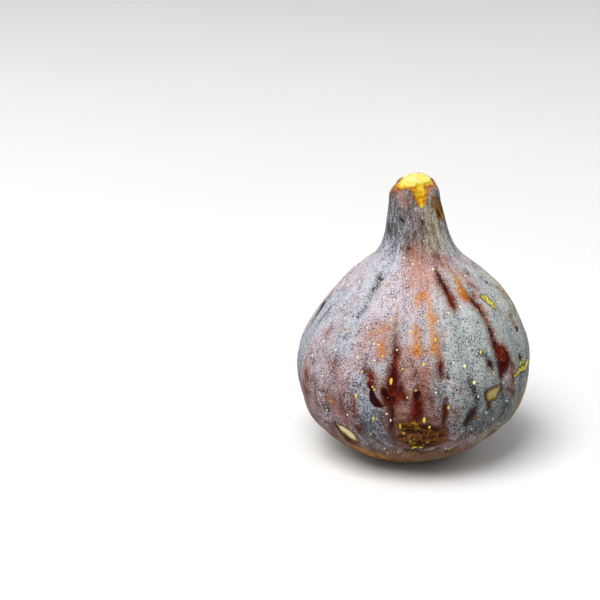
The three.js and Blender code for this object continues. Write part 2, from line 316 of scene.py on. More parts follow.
# The paths of the strokes on the front, each tone's about from the top down.
FRONT_STROKES = {
    Tone.THIN: (
        ((-14, 31, 3), (-10, 15, 5)),
        ((2, 29, 1.8), (4, 17, 3)),
        ((-14, 48.5, 1.5), (10, 48.5, 1.5)),
        ((-46, 21, 1), (-28, 14, 3)),
        ((-46, 34, -1), (-46, 26, 0.5)),
        ((-68, 26, 0), (-66, 18, 2.5)),
        ((-30, 36, 0.5), (-34, 28, 0.5)),
        ((38, 28, 1), (50, 26, 1)),
        ((28, 14, 3), (64, 15, 4)),
        ((60, 20, 1), (80, 26, 2)),
        ((12, 20, 1.5), (14, 12, 2)),
        ((-80, 12, 3), (-40, 7, 3.5)),
        ((-40, 5, 4), (40, 5, 4)),
        ((40, 7, 4), (80, 12, 3)),
    ),
    Tone.COOL: (
        ((-88, 50, 2), (-70, 44, 2)),
        ((-60, 58, 3.5), (-56, 50, 3.5)),
        ((-46, 48, 2), (-46, 30, 2.5)),
        ((-78, 36, 5), (-84, 24, 5)),
        ((-56, 44, 1), (-62, 34, 1)),
        ((-15, 36, 1.2), (-18, 28, 2)),
        ((-26, 27, 1.5), (-30, 23, 2)),
        ((-24, 20, 3.5), (-22, 10, 4.5)),
        ((6, 35, 1.2), (12, 22, 2.5)),
        ((14, 42, 1), (16, 34, 2)),
        ((24, 33, 9), (60, 24, 12)),
        ((48, 42, 6), (80, 36, 9)),
        ((30, 18, 7), (60, 12, 7)),
        ((66, 57, 2), (60, 48, 2)),
    ),
    Tone.SALMON: (
        ((-15, 44.6, 1.5), (-4, 45.2, 3), (4, 44.5, 3)),
        ((-6, 43.5, 2), (4, 42.5, 1.5)),
        ((-8, 47, 1), (-6, 49.5, 0)),
        ((28, 46.5, 1.4), (50, 42.5, 1.2)),
        ((24, 41, -0.6), (15, 38, -0.6)),
        ((-22, 31, 1.4), (-22, 35, 1.2)),
        ((-10, 32, 0), (2, 32, 0.3)),
        ((-66, 31, -0.8), (-68, 25, -0.8)),
        ((-56, 39, -0.8), (-52, 26, -0.8)),
        ((-41, 26.5, -0.3), (-37, 22.5, 0.2)),
        ((2, 28, 0.3), (2, 24, -0.6)),
        ((-46, 18.5, 0), (-42, 16.5, 0)),
        ((11, 35, 0), (9, 33, 0)),
        ((-48, 60.5, 0.2), (-28, 59.5, 0)),
    ),
    Tone.KHAKI: (
        ((28, 60, 0.8), (24, 50, 1)),
        ((44, 57, 1), (36, 50, 1)),
        ((84, 42, 1), (90, 30, 2)),
        ((68, 37.5, -0.5), (76, 35.5, 1), (72, 31.5, 0.5)),
        ((90, 38, 0.5), (95, 33, 1), (84, 31, 0.3)),
        ((80, 20, 1.5), (64, 14, 2.5)),
        ((40, 11, 1.5), (80, 9, 1)),
        ((-4, 3, 1), (60, 4, 2)),
    ),
    Tone.OCHRE: (
        ((50, 60, 0.6), (57, 58, 1.6), (64, 56, 1.3)),
        ((-24, 59.2, -0.5), (-8, 58, -0.2)),
        ((24, 59, -0.3), (22, 50, -0.4)),
        ((40, 58, -0.3), (36, 49, -0.4)),
        ((83, 39, 0.4), (88, 35, 0.5), (78, 32, 0)),
        ((80, 37, 0), (72, 35.4, 0.1), (66.2, 34.4, 0.4), (68, 31.5, 0.4)),
        ((50, 28, 0), (56, 24, 0)),
        # Painted shade on the sunken chip's upper-left edge, and the chip's brown tip below it.
        ((33.9, 22.4, 0), (34.2, 20.6, 0.1), (35.6, 19.4, 0.3), (36.1, 18.4, 0.1)),
        ((-16.5, 21, 0.4), (-14.5, 21.5, 0.4)),
        ((-29, 27.5, 0.3), (-28, 27, 0.3)),
        ((28.5, 16.5, 0.2), (30.5, 16.5, 0.2)),
        ((-63, 15.5, 0.3), (-56, 14, 0.3)),
        ((-8, 10, 0), (-4, 8, 0.2), (-0.4, 6.5, 0.2), (4.6, 6.8, 0.1), (11, 7.5, -0.2)),
        ((-41.5, 9.8, 0), (-37, 8.6, 0.3), (-33, 7.6, 0.5), (-27, 6.4, 0.2)),
        ((-42, 8, 0.4), (-34, 6.2, 1.2), (-25, 4.6, 1.3), (-14, 3.6, 1), (-2, 3.4, 0.5)),
    ),
    Tone.AMBER: (
        ((26, 62, -0.5), (40, 62, -0.1), (56, 62.2, -0.2)),
        ((-86, 60.8, -0.4), (-62, 61.6, -0.2)),
        ((33.5, 44.4, -0.8), (35.5, 43.2, 0.3), (34.8, 41.8, 0.9), (34.4, 40.6, 0.7)),
        ((-10.2, 43, -0.6), (-9.4, 42.8, -0.6)),
        ((4.8, 43.5, -0.8), (5.6, 43.3, -0.8)),
        ((-36, 42.6, -0.5), (-32, 42.6, -0.6)),
        ((-5, 39.6, 0), (-4.6, 41, 0.5), (-0.5, 41.4, 0.5), (2.6, 40.6, 0.1)),
        ((3.2, 40, -0.1), (3.4, 38.8, 0.1), (4.9, 37.4, 0.7), (4.6, 35.6, 0.1), (6, 33.5, 0.4), (7, 32, 0.6)),
        ((16, 39.5, -0.9), (17, 38, -0.9)),
        (
            (-5.8, 36.4, 0), (-4.6, 35.2, 0.4), (-4, 34, 0), (-3, 32.8, 0.6), (-3, 31.8, 0.6),
            (-2.5, 30.8, -0.2),
        ),
        # Painted glint: the thin bright orange line on the dark streak.
        ((42.6, 36.6, -0.4), (43.1, 35, -0.6)),
        ((36, 40.6, -0.6), (38, 39.8, -0.7)),
        ((-30, 33.8, -0.4), (-24, 35.5, 0)),
        ((-24, 33, -0.2), (-20.5, 30.5, -0.2)),
        ((46.4, 29, -1), (47.2, 27.2, -0.9)),
        ((-47, 18.3, -0.6), (-44.5, 17.8, -0.5), (-42, 18.8, -0.7)),
    ),
    Tone.MAROON: (
        ((-88, 60, -0.6), (-66, 60.6, -0.5)),
        ((22, 61.4, -0.6), (32, 61.2, -0.5)),
        ((26, 48, -0.4), (27, 47.5, -0.4)),
        ((39, 47.5, -0.5), (41.5, 47, -0.4)),
        ((18, 45, 0.1), (19.2, 43.6, 0.7), (20.8, 41.6, 0.8), (21.4, 39.7, 0.9), (22, 38.7, 0.1)),
        ((34.6, 41, 0.9), (36.5, 40.2, 1.1), (39, 39.4, 1), (41.3, 38.5, 0.8), (42.8, 37, 0.4)),
        ((46.5, 42.2, -0.2), (51.5, 41, -0.1)),
        ((44, 40.7, 0.3), (44, 40.3, 0.3)),
        ((42.8, 37, 0.1), (43.2, 35.2, 0.2), (43.4, 33.8, 0.4), (43.6, 32, 0.4), (44, 30.7, 0.8)),
        ((44, 30.7, 0.8), (46.5, 29.2, 1.4), (48, 27.5, 1.5), (47, 26, 1.1), (45, 24.4, 0.4)),
        ((36.4, 28, 0), (37, 27, 0)),
        ((52, 27.5, 0), (52.5, 22, 0.2)),
        ((50, 21, 0.1), (53, 19, 0.2)),
        ((-60.4, 32.6, -0.3), (-61, 31.7, -0.1)),
        ((-47, 33.8, -0.7), (-45.5, 33.4, -0.6)),
        ((-65.2, 23, -0.3), (-64.8, 22.2, 0), (-63.8, 20.8, -0.4)),
        ((-57.5, 23, -0.5), (-55, 20.4, -0.4), (-54.2, 18, -0.3), (-52, 15.4, -0.4)),
        ((-69, 19.2, -0.2), (-64.8, 17.6, -0.2)),
        ((-43, 19.5, -0.5), (-43, 17, -0.5)),
        ((-38, 21, -0.5), (-38, 16.5, -0.5)),
        ((-32.2, 22, -0.4), (-31.2, 20.3, -0.2), (-31, 18.5, -0.2), (-30, 16.5, -0.5)),
        ((-45, 12.4, 0), (-39.5, 9.4, 0.2), (-34, 8.2, 0.2)),
        ((-30.4, 13.6, 0), (-29.8, 12.9, 0)),
        ((-36, 17.5, -0.6), (-35.5, 13.5, -0.6)),
        ((-28, 15.5, -0.6), (-27.5, 11.5, -0.5)),
        ((-22, 11.4, -0.2), (-19, 10.5, -0.2)),
        ((-26, 27.2, 0.3), (-24, 26, 0.6), (-23, 24.5, 0.5)),
        ((-19, 39.5, -0.6), (-18, 37, -0.3), (-16, 34, 0), (-14, 31.5, 0.3)),
        ((-14, 31.5, 0.3), (-14, 29, 0.4), (-13.5, 26.5, 0.9), (-12.8, 24.5, 0.9)),
        ((-12.8, 24.5, 0.9), (-12.2, 22.5, 0.9), (-12.8, 20, 0.1), (-12.4, 13.8, -0.4)),
        ((-16.5, 23.6, 0.5), (-14.4, 22.6, 0.9), (-12.6, 21, 0.6)),
        ((-9.6, 25.4, 0), (-9.2, 23.4, 0.6), (-7, 22.6, 0.4)),
        ((-9.4, 23, 0.1), (-9.8, 21.3, -0.1)),
        ((-5, 29.8, -0.4), (-3.6, 28.3, 0.1), (-3.4, 26.5, 0)),
        ((-1.8, 25, -0.2), (-1, 23.2, 0.6), (-0.9, 20, 0.8), (-1.2, 17.2, 0.6)),
        ((-0.5, 25.4, -0.5), (2, 25, -0.4), (5, 24.6, -0.6)),
        ((3, 23.2, -0.5), (5.2, 22, -0.2), (6, 20.5, -0.5)),
        ((8.4, 31, -0.1), (8.5, 29.5, 0.3), (9.2, 28.2, 0.5), (10.2, 26.8, 0.2)),
        ((12.4, 22.3, -0.4), (12, 20.5, 0), (12.6, 18.4, 0), (12.5, 14.5, -0.5)),
        ((-8, 18.5, -0.3), (7, 17.5, -0.3)),
        ((18, 19.5, -0.4), (19, 17, -0.4)),
        ((26.4, 17.6, -0.4), (24.8, 15.4, -0.3)),
    ),
    Tone.SHADE: (
        ((8, 56, -0.3), (6.5, 50, -0.4)),
        ((13, 55.5, -0.3), (7, 52, -0.4)),
        ((-53, 53.5, -0.4), (-45, 50, -0.3)),
        ((-90, 55, -0.3), (-65, 52, -0.3)),
        ((-86, 58, -0.5), (-80, 53, -0.2), (-76, 49, -0.4)),
        ((25, 49, -0.5), (28, 46, -0.2)),
        ((-48, 44, 0.1), (-45, 42, 0.3), (-45.5, 39, -0.2), (-43, 38, 0.2), (-44, 36, -0.2)),
        ((57, 44, 0.2), (54, 43.5, 0.2)),
        ((-79, 36.4, -0.3), (-78.5, 34.5, 0.1), (-78.5, 32.3, 0), (-79, 31, -0.4)),
        ((-98, 36, 0), (-96, 33, 0.5), (-94, 30.5, 0.4), (-92, 28.5, 0)),
        ((-29, 30, 0), (-28, 28.5, 0)),
        ((31, 30.2, 0.3), (34, 29.8, 0.3), (37, 27.6, 0.2)),
        ((43.5, 27, -0.1), (45, 24.5, -0.1)),
        ((24.9, 25.5, 0.1), (27.8, 21.9, 0.2), (29, 19.6, 0.2)),
        ((29, 19.6, 0.2), (25.9, 17.3, 0.6), (24.4, 15.2, 0.3)),
        ((33, 23, 0.1), (33.5, 21, 0.2)),
        ((35, 19.6, 0.1), (36, 18.3, 0)),
        ((45, 22, 0), (46, 19.5, 0)),
        ((-12.7, 20, -0.2), (-11.6, 13, -0.3)),
        ((-11.5, 12.5, 0), (-10, 9.5, -0.2)),
        ((-4, 9, 0.2), (3.5, 7.6, 0.3), (13, 8.5, 0.2)),
        ((12, 20, -0.4), (12, 16, -0.3)),
        ((20, 7.5, 0.3), (23, 7.5, 0.3)),
    ),
    Tone.INK: (
        ((47, 60, 0), (51, 58, 0.1), (58, 55.6, 0.2)),
        ((62, 59.4, 0), (69, 56.4, 0.1)),
        ((10.5, 55.4, 0.1), (10.8, 55.1, 0.1)),
        ((-37, 56, 0), (-31, 55.2, 0.12)),
        ((-17, 49.5, 0.2), (-16, 49.5, 0.2)),
        ((-46, 43.6, 0.1), (-43.5, 43.5, 0.1)),
        ((68, 42.2, 0), (68.4, 41.9, 0)),
        ((69, 41.3, 0.2), (69.6, 41, 0.1)),
        ((72, 40.4, 0), (72.6, 40.2, 0)),
        ((-97, 34, 0.1), (-95, 32, 0.3), (-93.5, 30.4, 0.2)),
        ((-79, 35, 0), (-78.6, 34.2, 0)),
        ((-47, 41.8, -0.1), (-46.5, 41.3, 0)),
        ((-45, 36.6, -0.1), (-44.7, 36.2, 0)),
        ((69, 31.5, 0.3), (68, 31, 0.3)),
        ((42.5, 34.5, 0), (43, 32.5, 0)),
        ((-23, 24.2, 0), (-22.3, 22, 0.8), (-20.1, 20.9, 0.5), (-16.5, 20.3, 0.2)),
        ((-17.8, 24, 0.1), (-16.4, 23.4, 0.5), (-14.2, 22, 0.4)),
        ((-12.8, 21, 0.1), (-12.6, 19, 0), (-12.4, 17, 0.2), (-11.9, 14.6, 0)),
        ((-1.1, 23.2, 0.6), (-1.1, 22.9, 0.6)),
        ((13.4, 26.6, 0.2), (13.8, 26.4, 0.2)),
        ((63, 27, -0.1), (64, 26, 0.3), (63.6, 24.8, 0.2)),
        ((-25, 24.5, 0.1), (-24, 24, 0.2)),
        ((-6.2, 14.6, 0.4), (-6, 14.2, 0.4)),
        ((-8.2, 12.5, 0.5), (-7.8, 12.1, 0.5)),
        ((7.5, 11, 0), (10.6, 10.9, 0.2), (13.1, 10.7, 0.2), (17.1, 11.6, 0)),
    ),
    Tone.RUSSET: (
        ((-7.4, 15.6, 0.9), (1.5, 14.8, 1.7), (11, 13.4, 1.5)),
        ((-5.5, 12.6, 1.1), (2.5, 11, 1.7), (13, 11.4, 0.8)),
    ),
    Tone.GILT: (
        ((-9, 16.7, 0), (-9, 15.6, 0.1), (-7.8, 14.6, -0.1), (-4.6, 12.8, 0.1), (-3.5, 11.5, 0.1)),
        ((-7.2, 16.7, 0), (-5, 16.5, -0.1), (-2, 16.7, 0.1), (0.5, 16.2, 0.1), (1.2, 15.6, 0)),
        ((1.2, 15.6, 0), (0, 14.5, -0.1), (-2.1, 13.5, 0), (-3.6, 12.8, 0.1)),
        ((-3.5, 11.5, 0.1), (-2, 11, 0.1), (-1.1, 11.8, -0.1), (0.9, 10.5, 0), (3.2, 10.3, 0)),
        ((3.5, 10.8, -0.1), (6.2, 11.4, 0), (8.1, 12.1, 0), (10.6, 12, -0.1), (14, 10.9, -0.1)),
        ((8, 9.8, -0.1), (13, 9.7, -0.1), (16, 10.2, -0.2)),
    ),
    Tone.CHIP: (
        ((35.8, 21.3, 1), (38.5, 21.5, 1.1), (43.6, 21.8, 0.6)),
        ((36.4, 20.8, 0.9), (38.8, 20.8, 1)),
        ((-43.4, 12.6, 0.5), (-39, 11.8, 1.4), (-35.6, 10.7, 1.4), (-32.4, 9.7, 0.3)),
    ),
    Tone.LIME: (
        ((-44, 43.5, 0.1), (-43, 43.5, 0.1)),
        ((50, 39.7, 0.4), (51.4, 39.3, 0.7), (52.2, 38.7, 0.6)),
        ((52, 38.7, 0.6), (53.3, 38, 0.7), (54, 37.2, 0.4)),
        ((53, 23, 0.1), (57.5, 23.2, 0.45), (64, 23.3, 0.5), (71, 23.6, 0.7)),
        ((61.5, 23.8, 0.2), (64.5, 25.6, 0.3)),
        ((-8.5, 16, 0.2), (-8, 15, 0.2)),
        ((-5.5, 17, 0.1), (-4, 17, 0.1)),
        ((-26, 8.5, 0), (-22.5, 6.5, 0)),
        ((-3.5, 12, 0.2), (-2.5, 11.5, 0.1)),
        ((-1.5, 9.5, 0.3), (0.5, 9.5, 0.3)),
        ((3, 9.5, 0.2), (4.5, 10, 0.2)),
    ),
}


@dataclass(frozen=True)
class Sowing:
    """Marks to strew: how many, their tones in turn, and the ranges of their rise and half width."""

    count: int
    tones: tuple[Tone, ...]
    rise: Range
    half: Range


@dataclass(frozen=True)
class BackStrokes:
    """Marks strewn over the sides and the back by a seeded rule, like in kind to the front's.

    The skin's shoulder leans back, so marks start further round the higher they stand.
    """

    seed: int = 11
    start: float = 94.0
    creep: float = 1.3
    creep_from: float = 22.0
    low: float = 10.0
    high: float = 44.0
    highest: float = 48.0
    lean: float = 2.5
    streaks: Sowing = Sowing(
        64,
        (Tone.MAROON, Tone.SHADE, Tone.AMBER, Tone.MAROON, Tone.SHADE, Tone.MAROON, Tone.INK),
        (2.0, 9.0),
        (-0.6, 0.5),
    )
    patches: Sowing = Sowing(
        30, (Tone.THIN, Tone.COOL, Tone.SALMON, Tone.COOL, Tone.THIN), (2.0, 12.0), (-0.5, 3.0)
    )
    scrapes: Sowing = Sowing(6, (Tone.CHIP, Tone.LIME, Tone.OCHRE), (0.5, 2.0), (0.2, 0.6))

    def made(self) -> list[Stroke]:
        """Draws the marks.

        Returns:
            A list of strokes, the same at every run.
        """
        rng = np.random.default_rng(self.seed)
        sowings = (self.streaks, self.patches, self.scrapes)
        return [stroke for sowing in sowings for stroke in self._drawn(rng, sowing)]

    def _drawn(self, rng: np.random.Generator, sowing: Sowing) -> list[Stroke]:
        """Draws marks of one kind, which mostly run up the skin.

        Args:
            rng: the source of its numbers.
            sowing: the kind.

        Returns:
            The strokes.
        """
        found = []
        for k in range(sowing.count):
            low = rng.uniform(self.low, self.high)
            top = min(low + rng.uniform(*sowing.rise), self.highest)
            first = self.start + self.creep * max(top - self.creep_from, 0)
            # Each mark keeps to its own share of the way round, so that they never crowd together.
            at = first + (k + rng.uniform(0, 1)) / sowing.count * (360 - 2 * first)
            lean = rng.uniform(-self.lean, self.lean)
            path = ((at, low, rng.uniform(*sowing.half)), (at + lean, top, rng.uniform(*sowing.half)))
            found.append(Stroke(sowing.tones[k % len(sowing.tones)], path))
        return found


class FleckSize(Enum):
    """Half width and half length in millimetres, and how ripe: 0 pale to 1 deep yellow."""

    BOLD = (0.34, 0.8, 1.0)
    BROAD = (0.4, 0.46, 0.3)
    LONG = (0.27, 0.48, 0.9)
    SLIM = (0.2, 0.4, 0.2)
    GOLD = (0.22, 0.25, 0.9)
    PALE = (0.21, 0.26, 0.1)
    TINY = (0.14, 0.17, 0.3)


# Azimuth and height of the flecks of each size on the front.
FRONT_FLECKS = {
    FleckSize.BOLD: ((-14, 25.5), (3, 17)),
    FleckSize.BROAD: ((27, 24.5), (22.5, 28.5)),
    FleckSize.LONG: (
        (-30, 21.5), (14.5, 20), (7, 34), (1, 29.5), (-21.5, 16.5), (-8, 35.5),
        (31.5, 30.5), (6, 15.5),
    ),
    FleckSize.SLIM: (
        (-31.5, 40.5), (-60, 30), (-42, 32), (-66, 41.5), (-81, 40),
        (-13, 16.5), (26, 39), (58, 35), (-9, 7.5), (-17, 8.5), (-72, 36), (14, 45.5),
    ),
    FleckSize.GOLD: (
        (-22, 37), (-47, 33.5), (-20.5, 30.5), (8, 41), (1, 38.5), (32, 43.5), (31.5, 41.5),
        (37.5, 30.5), (-45, 18.5), (-23, 12), (-22.5, 24), (-22, 23.5), (-9, 28.5), (-2, 24),
        (-5.5, 22.5), (-6.5, 14), (-0.5, 9.5), (20, 8.5), (38, 25.5), (54, 21.5), (-29, 27),
    ),
    FleckSize.PALE: (
        (-53, 40), (-23, 40.5), (-52.5, 35.5), (-35, 35), (-27, 32.5), (-24, 32.5), (-49, 29.5),
        (-64, 26.5), (-34, 29.5), (-24, 29.5), (16, 38.5), (8, 37), (-14, 32), (50, 43.5),
        (39.5, 38), (64, 37.5), (70, 29), (-51, 23.5), (-49, 15.5), (-35, 16.5), (-16, 6.5),
        (16, 29.5), (7.5, 23.5), (-15, 18.5), (-7, 6), (17.5, 8.5), (47, 22.5), (29, 21.5),
        (35, 17), (40, 15), (29, 13.5), (23, 13.5), (49.5, 17.5), (-24, 47.5), (-11, 46.5),
    ),
    FleckSize.TINY: (
        (-51, 51), (8, 51), (6, 44.5), (-20, 42.5), (26.5, 31.5), (-11, 39), (15, 40.5),
        (25, 34.5), (-45, 39.5), (-38, 32), (-0.5, 11.5), (-76, 28), (-65.5, 34), (-40, 27),
        (-57, 26), (-46, 44), (-28, 44.5), (34, 35), (46, 33), (-3, 47), (19, 49), (-60, 19),
        (-37, 38), (-17, 44), (11, 26), (33, 27), (44, 18), (-41, 21.5), (-55, 37), (72, 33),
    ),
}


# ---------------------------------------------------------------------------------------------------------
# Node graphs
# ---------------------------------------------------------------------------------------------------------


class Signal:
    """An output socket of a node graph, with Python's operators for numbers."""

    def __init__(self, graph: "Graph", socket: bpy.types.NodeSocket | None) -> None:
        """Wraps a socket.

        Args:
            graph: the graph that the socket is in.
            socket: an output socket, or None for a node that has none.
        """
        self.graph = graph
        self.socket = socket

    def __add__(self, other: "Signal | float") -> "Signal":
        """Self plus other."""
        return self.graph.math("ADD", self, other)

    __radd__ = __add__

    def __mul__(self, other: "Signal | float") -> "Signal":
        """Self times other."""
        return self.graph.math("MULTIPLY", self, other)

    __rmul__ = __mul__

    def __sub__(self, other: "Signal | float") -> "Signal":
        """Self minus other."""
        return self.graph.math("SUBTRACT", self, other)

    def __rsub__(self, other: "Signal | float") -> "Signal":
        """Other minus self."""
        return self.graph.math("SUBTRACT", other, self)

    def __abs__(self) -> "Signal":
        """Self without its sign."""
        return self.graph.math("ABSOLUTE", self)


class Graph:
    """A node tree with one way to add any node."""

    def __init__(self, tree: bpy.types.NodeTree) -> None:
        """Keeps the tree that nodes go into."""
        self.tree = tree

    def node(
        self,
        kind: str,
        settings: Mapping[str, Any] | None = None,
        inputs: Mapping[int | str, Any] | None = None,
        output: int | str = 0,
    ) -> Signal:
        """Adds a node.

        Args:
            kind: the node's type.
            settings: its properties, set before its sockets.
            inputs: a value or a Signal for each socket, by name or number.
            output: the output socket to return.

        Returns:
            The node's output.
        """
        made = self.tree.nodes.new(kind)
        for name, value in (settings or {}).items():
            setattr(made, name, value)
        for key, value in (inputs or {}).items():
            if isinstance(value, Signal):
                self.tree.links.new(value.socket, made.inputs[key])
            else:
                made.inputs[key].default_value = value
        return Signal(self, made.outputs[output] if made.outputs else None)

    def math(self, operation: str, a: Signal | float, b: Signal | float = 0.0) -> Signal:
        """One sum on one or two numbers."""
        return self.node("ShaderNodeMath", {"operation": operation}, {0: a, 1: b})


def linear(colour: str) -> tuple[float, float, float, float]:
    """Turns a screen colour such as "#c0ffee" into the linear values that a shader takes."""
    parts = [int(colour[k : k + 2], 16) / 255 for k in (1, 3, 5)]
    parts = [p / 12.92 if p <= 0.04045 else ((p + 0.055) / 1.055) ** 2.4 for p in parts]
    return (*parts, 1.0)


# A colour in a shader: a Signal, or a screen colour.
Colour = Signal | str


class Paint(Graph):
    """The node graph of one material."""

    def __init__(self, name: str) -> None:
        """Makes an empty material.

        Args:
            name: the material's name.
        """
        self.material = bpy.data.materials.new(name)
        self.material.use_nodes = True
        super().__init__(self.material.node_tree)
        self.tree.nodes.clear()

    def attribute(self, name: str, output: str = "Fac") -> Signal:
        """A number, or with the output Vector a place, that the mesh carries."""
        return self.node("ShaderNodeAttribute", {"attribute_name": name}, output=output)

    def place(self) -> Signal:
        """Object coordinates, in millimetres."""
        at = self.node("ShaderNodeTexCoord", output="Object")
        return self.node("ShaderNodeVectorMath", {"operation": "SCALE"}, {0: at, "Scale": 1 / MM})

    def part(self, vector: Signal, axis: str) -> Signal:
        """One axis of a vector: X, Y or Z."""
        return self.node("ShaderNodeSeparateXYZ", None, {0: vector}, axis)

    def noise(self, vector: Signal, scale: float, detail: float = 2.0, rough: float = 0.5) -> Signal:
        """Noise about 0, seldom past 0.3 either way, with scale waves in a millimetre."""
        sockets = {"Vector": vector, "Scale": scale, "Detail": detail, "Roughness": rough}
        return self.node("ShaderNodeTexNoise", None, sockets) - 0.5

    def spots(self, vector: Signal, scale: float, heart: float, edge: float) -> Signal:
        """Round spots strewn scale to a millimetre: 1 inside their heart, falling to 0 at their edge."""
        distance = self.node("ShaderNodeTexVoronoi", None, {"Vector": vector, "Scale": scale}, "Distance")
        return 1.0 - self.step(distance, heart, edge)

    def step(self, value: Signal, low: float, high: float) -> Signal:
        """Rises smoothly from 0 at low to 1 at high."""
        sockets = {"Value": value, "From Min": low, "From Max": high}
        return self.node("ShaderNodeMapRange", {"interpolation_type": "SMOOTHSTEP"}, sockets)

    def between(self, share: Signal, low: float, high: float) -> Signal:
        """Low where share is 0 and high where it is 1."""
        return share * (high - low) + low

    def blend(self, share: Signal, under: Colour, over: Colour) -> Signal:
        """Lays a colour over another.

        Args:
            share: how much of it shows, from 0 to 1.
            under: the colour beneath.
            over: the colour on top.

        Returns:
            The mixed colour.
        """
        under, over = (linear(c) if isinstance(c, str) else c for c in (under, over))
        settings = {"data_type": "RGBA", "blend_type": "MIX", "clamp_factor": True}
        return self.node("ShaderNodeMix", settings, {0: share, 6: under, 7: over}, 2)

    def coats(self, under: Colour, *coats: tuple[Signal, Colour]) -> Signal:
        """Lays several colours over one, in order, each by its share."""
        for share, over in coats:
            under = self.blend(share, under, over)
        return under

    def graded(self, value: Signal, low: float, high: float, first: Colour, last: Colour) -> Signal:
        """The first colour where a value is below low, turning smoothly into the last one at high."""
        return self.blend(self.step(value, low, high), first, last)

    def bumped(self, height: Signal, strength: float, depth: float) -> Signal:
        """A normal that a height bends. A height of 1 counts as depth, in millimetres."""
        sockets = {"Strength": strength, "Distance": depth * MM, "Height": height}
        return self.node("ShaderNodeBump", None, sockets)

    def finish(self, **sockets: Any) -> bpy.types.Material:
        """Ends the graph in one surface shader.

        Args:
            sockets: the shader's inputs, with _ for a space in their names.

        Returns:
            The finished material.
        """
        inputs = {name.replace("_", " "): value for name, value in sockets.items()}
        surface = self.node("ShaderNodeBsdfPrincipled", None, inputs)
        self.node("ShaderNodeOutputMaterial", None, {"Surface": surface})
        return self.material


class Growth(Graph):
    """A geometry tree that grows small pieces. It ends by realising them and giving them their finish."""

    def __init__(self, name: str, inputs: Mapping[str, str]) -> None:
        """Makes a tree.

        Args:
            name: the tree's name.
            inputs: the socket type of each named size.
        """
        super().__init__(bpy.data.node_groups.new(name, "GeometryNodeTree"))
        faces = self.tree.interface
        faces.new_socket("Geometry", in_out="INPUT", socket_type="NodeSocketGeometry")
        for label, kind in inputs.items():
            faces.new_socket(label, in_out="INPUT", socket_type=kind)
        faces.new_socket("Finish", in_out="INPUT", socket_type="NodeSocketMaterial")
        faces.new_socket("Geometry", in_out="OUTPUT", socket_type="NodeSocketGeometry")
        self.given = self.tree.nodes.new("NodeGroupInput")

    def input(self, name: str) -> Signal:
        """One of the tree's inputs."""
        return Signal(self, self.given.outputs[name])

    def vector(self, name: str) -> Signal:
        """A vector that the points carry."""
        return self.node("GeometryNodeInputNamedAttribute", {"data_type": "FLOAT_VECTOR"}, {"Name": name})

    def done(self, placed: Signal) -> "Growth":
        """Ends the tree with real, finished and smooth meshes."""
        real = self.node("GeometryNodeRealizeInstances", None, {"Geometry": placed})
        smooth = self.node("GeometryNodeSetShadeSmooth", None, {"Geometry": real})
        inputs = {"Geometry": smooth, "Material": self.input("Finish")}
        dressed = self.node("GeometryNodeSetMaterial", None, inputs)
        self.node("NodeGroupOutput", None, {"Geometry": dressed})
        return self


def grown(
    name: str,
    seed_object: bpy.types.Object,
    growth: Growth,
    sizes: Mapping[str, Any],
    finish: bpy.types.Material,
) -> bpy.types.Object:
    """Grows a tree on an object and keeps the result as a plain mesh.

    Args:
        name: the new object's name.
        seed_object: the object whose points the tree grows on. It is used up.
        growth: the tree.
        sizes: a value for each of the tree's named sizes.
        finish: the material that the tree gives.

    Returns:
        A new object at the origin.
    """
    modifier = seed_object.modifiers.new("growth", "NODES")
    modifier.node_group = growth.tree
    labels = {s.name: s.identifier for s in growth.tree.interface.items_tree if s.in_out == "INPUT"}
    for label, value in {**sizes, "Finish": finish}.items():
        modifier[labels[label]] = value
    graph = bpy.context.evaluated_depsgraph_get()
    mesh = bpy.data.meshes.new_from_object(seed_object.evaluated_get(graph), depsgraph=graph)
    mesh.name = name
    seed_object.modifiers.remove(modifier)
    bpy.data.objects.remove(seed_object)
    made = bpy.data.objects.new(name, mesh)
    bpy.context.scene.collection.objects.link(made)
    return made


# ---------------------------------------------------------------------------------------------------------
# Finishes
# ---------------------------------------------------------------------------------------------------------


class Mark(Enum):
    """A way that a tone shows on the skin.

    The value is the tone, how far the skin's grain frays it, and the closeness, in millimetres, where it
    starts and where it is whole.
    """

    SALMON = (Tone.SALMON, 2.0, -2.5, 2.5)
    KHAKI = (Tone.KHAKI, 3.0, -2.5, 2.0)
    OCHRE = (Tone.OCHRE, 1.4, -0.8, 0.6)
    MAROON = (Tone.MAROON, 2.4, -1.6, 0.1)
    MAROON_WORN = (Tone.MAROON, 2.4, -1.2, 0.8)
    MAROON_BARE = (Tone.MAROON, 1.2, 0.1, 0.8)
    AMBER = (Tone.AMBER, 2.0, -1.5, 0.2)
    AMBER_WORN = (Tone.AMBER, 2.0, -1.2, 0.9)
    SHADE = (Tone.SHADE, 2.2, -1.3, 0.8)
    INK = (Tone.INK, 0.9, -0.35, 0.1)
    RUSSET = (Tone.RUSSET, 2.5, -1.1, 0.4)
    GILT = (Tone.GILT, 0.8, -0.3, 0.15)
    CHIP = (Tone.CHIP, 0.4, -0.1, 0.15)
    CHIP_EDGE = (Tone.CHIP, 1.0, -0.8, -0.2)
    CHIP_HEART = (Tone.CHIP, 1.2, 0.25, 0.7)
    LIME = (Tone.LIME, 0.6, -0.1, 0.15)
    LIME_EDGE = (Tone.LIME, 0.8, -0.5, -0.15)
    LIME_HEART = (Tone.LIME, 0.9, 0.35, 0.6)

    def __init__(self, tone: Tone, ragged: float, low: float, high: float) -> None:
        """Names the four parts of the value."""
        self.tone = tone
        self.ragged = ragged
        self.low = low
        self.high = high


# How much of the bloom each mark takes off.
BLOOM_LOSS = {
    Mark.SALMON: 0.3,
    Mark.OCHRE: 0.5,
    Mark.AMBER_WORN: 0.5,
    Mark.MAROON_WORN: 0.5,
    Mark.MAROON_BARE: 0.5,
    Mark.SHADE: 0.5,
    Mark.INK: 1.5,
    Mark.RUSSET: 0.9,
    Mark.GILT: 1.0,
}


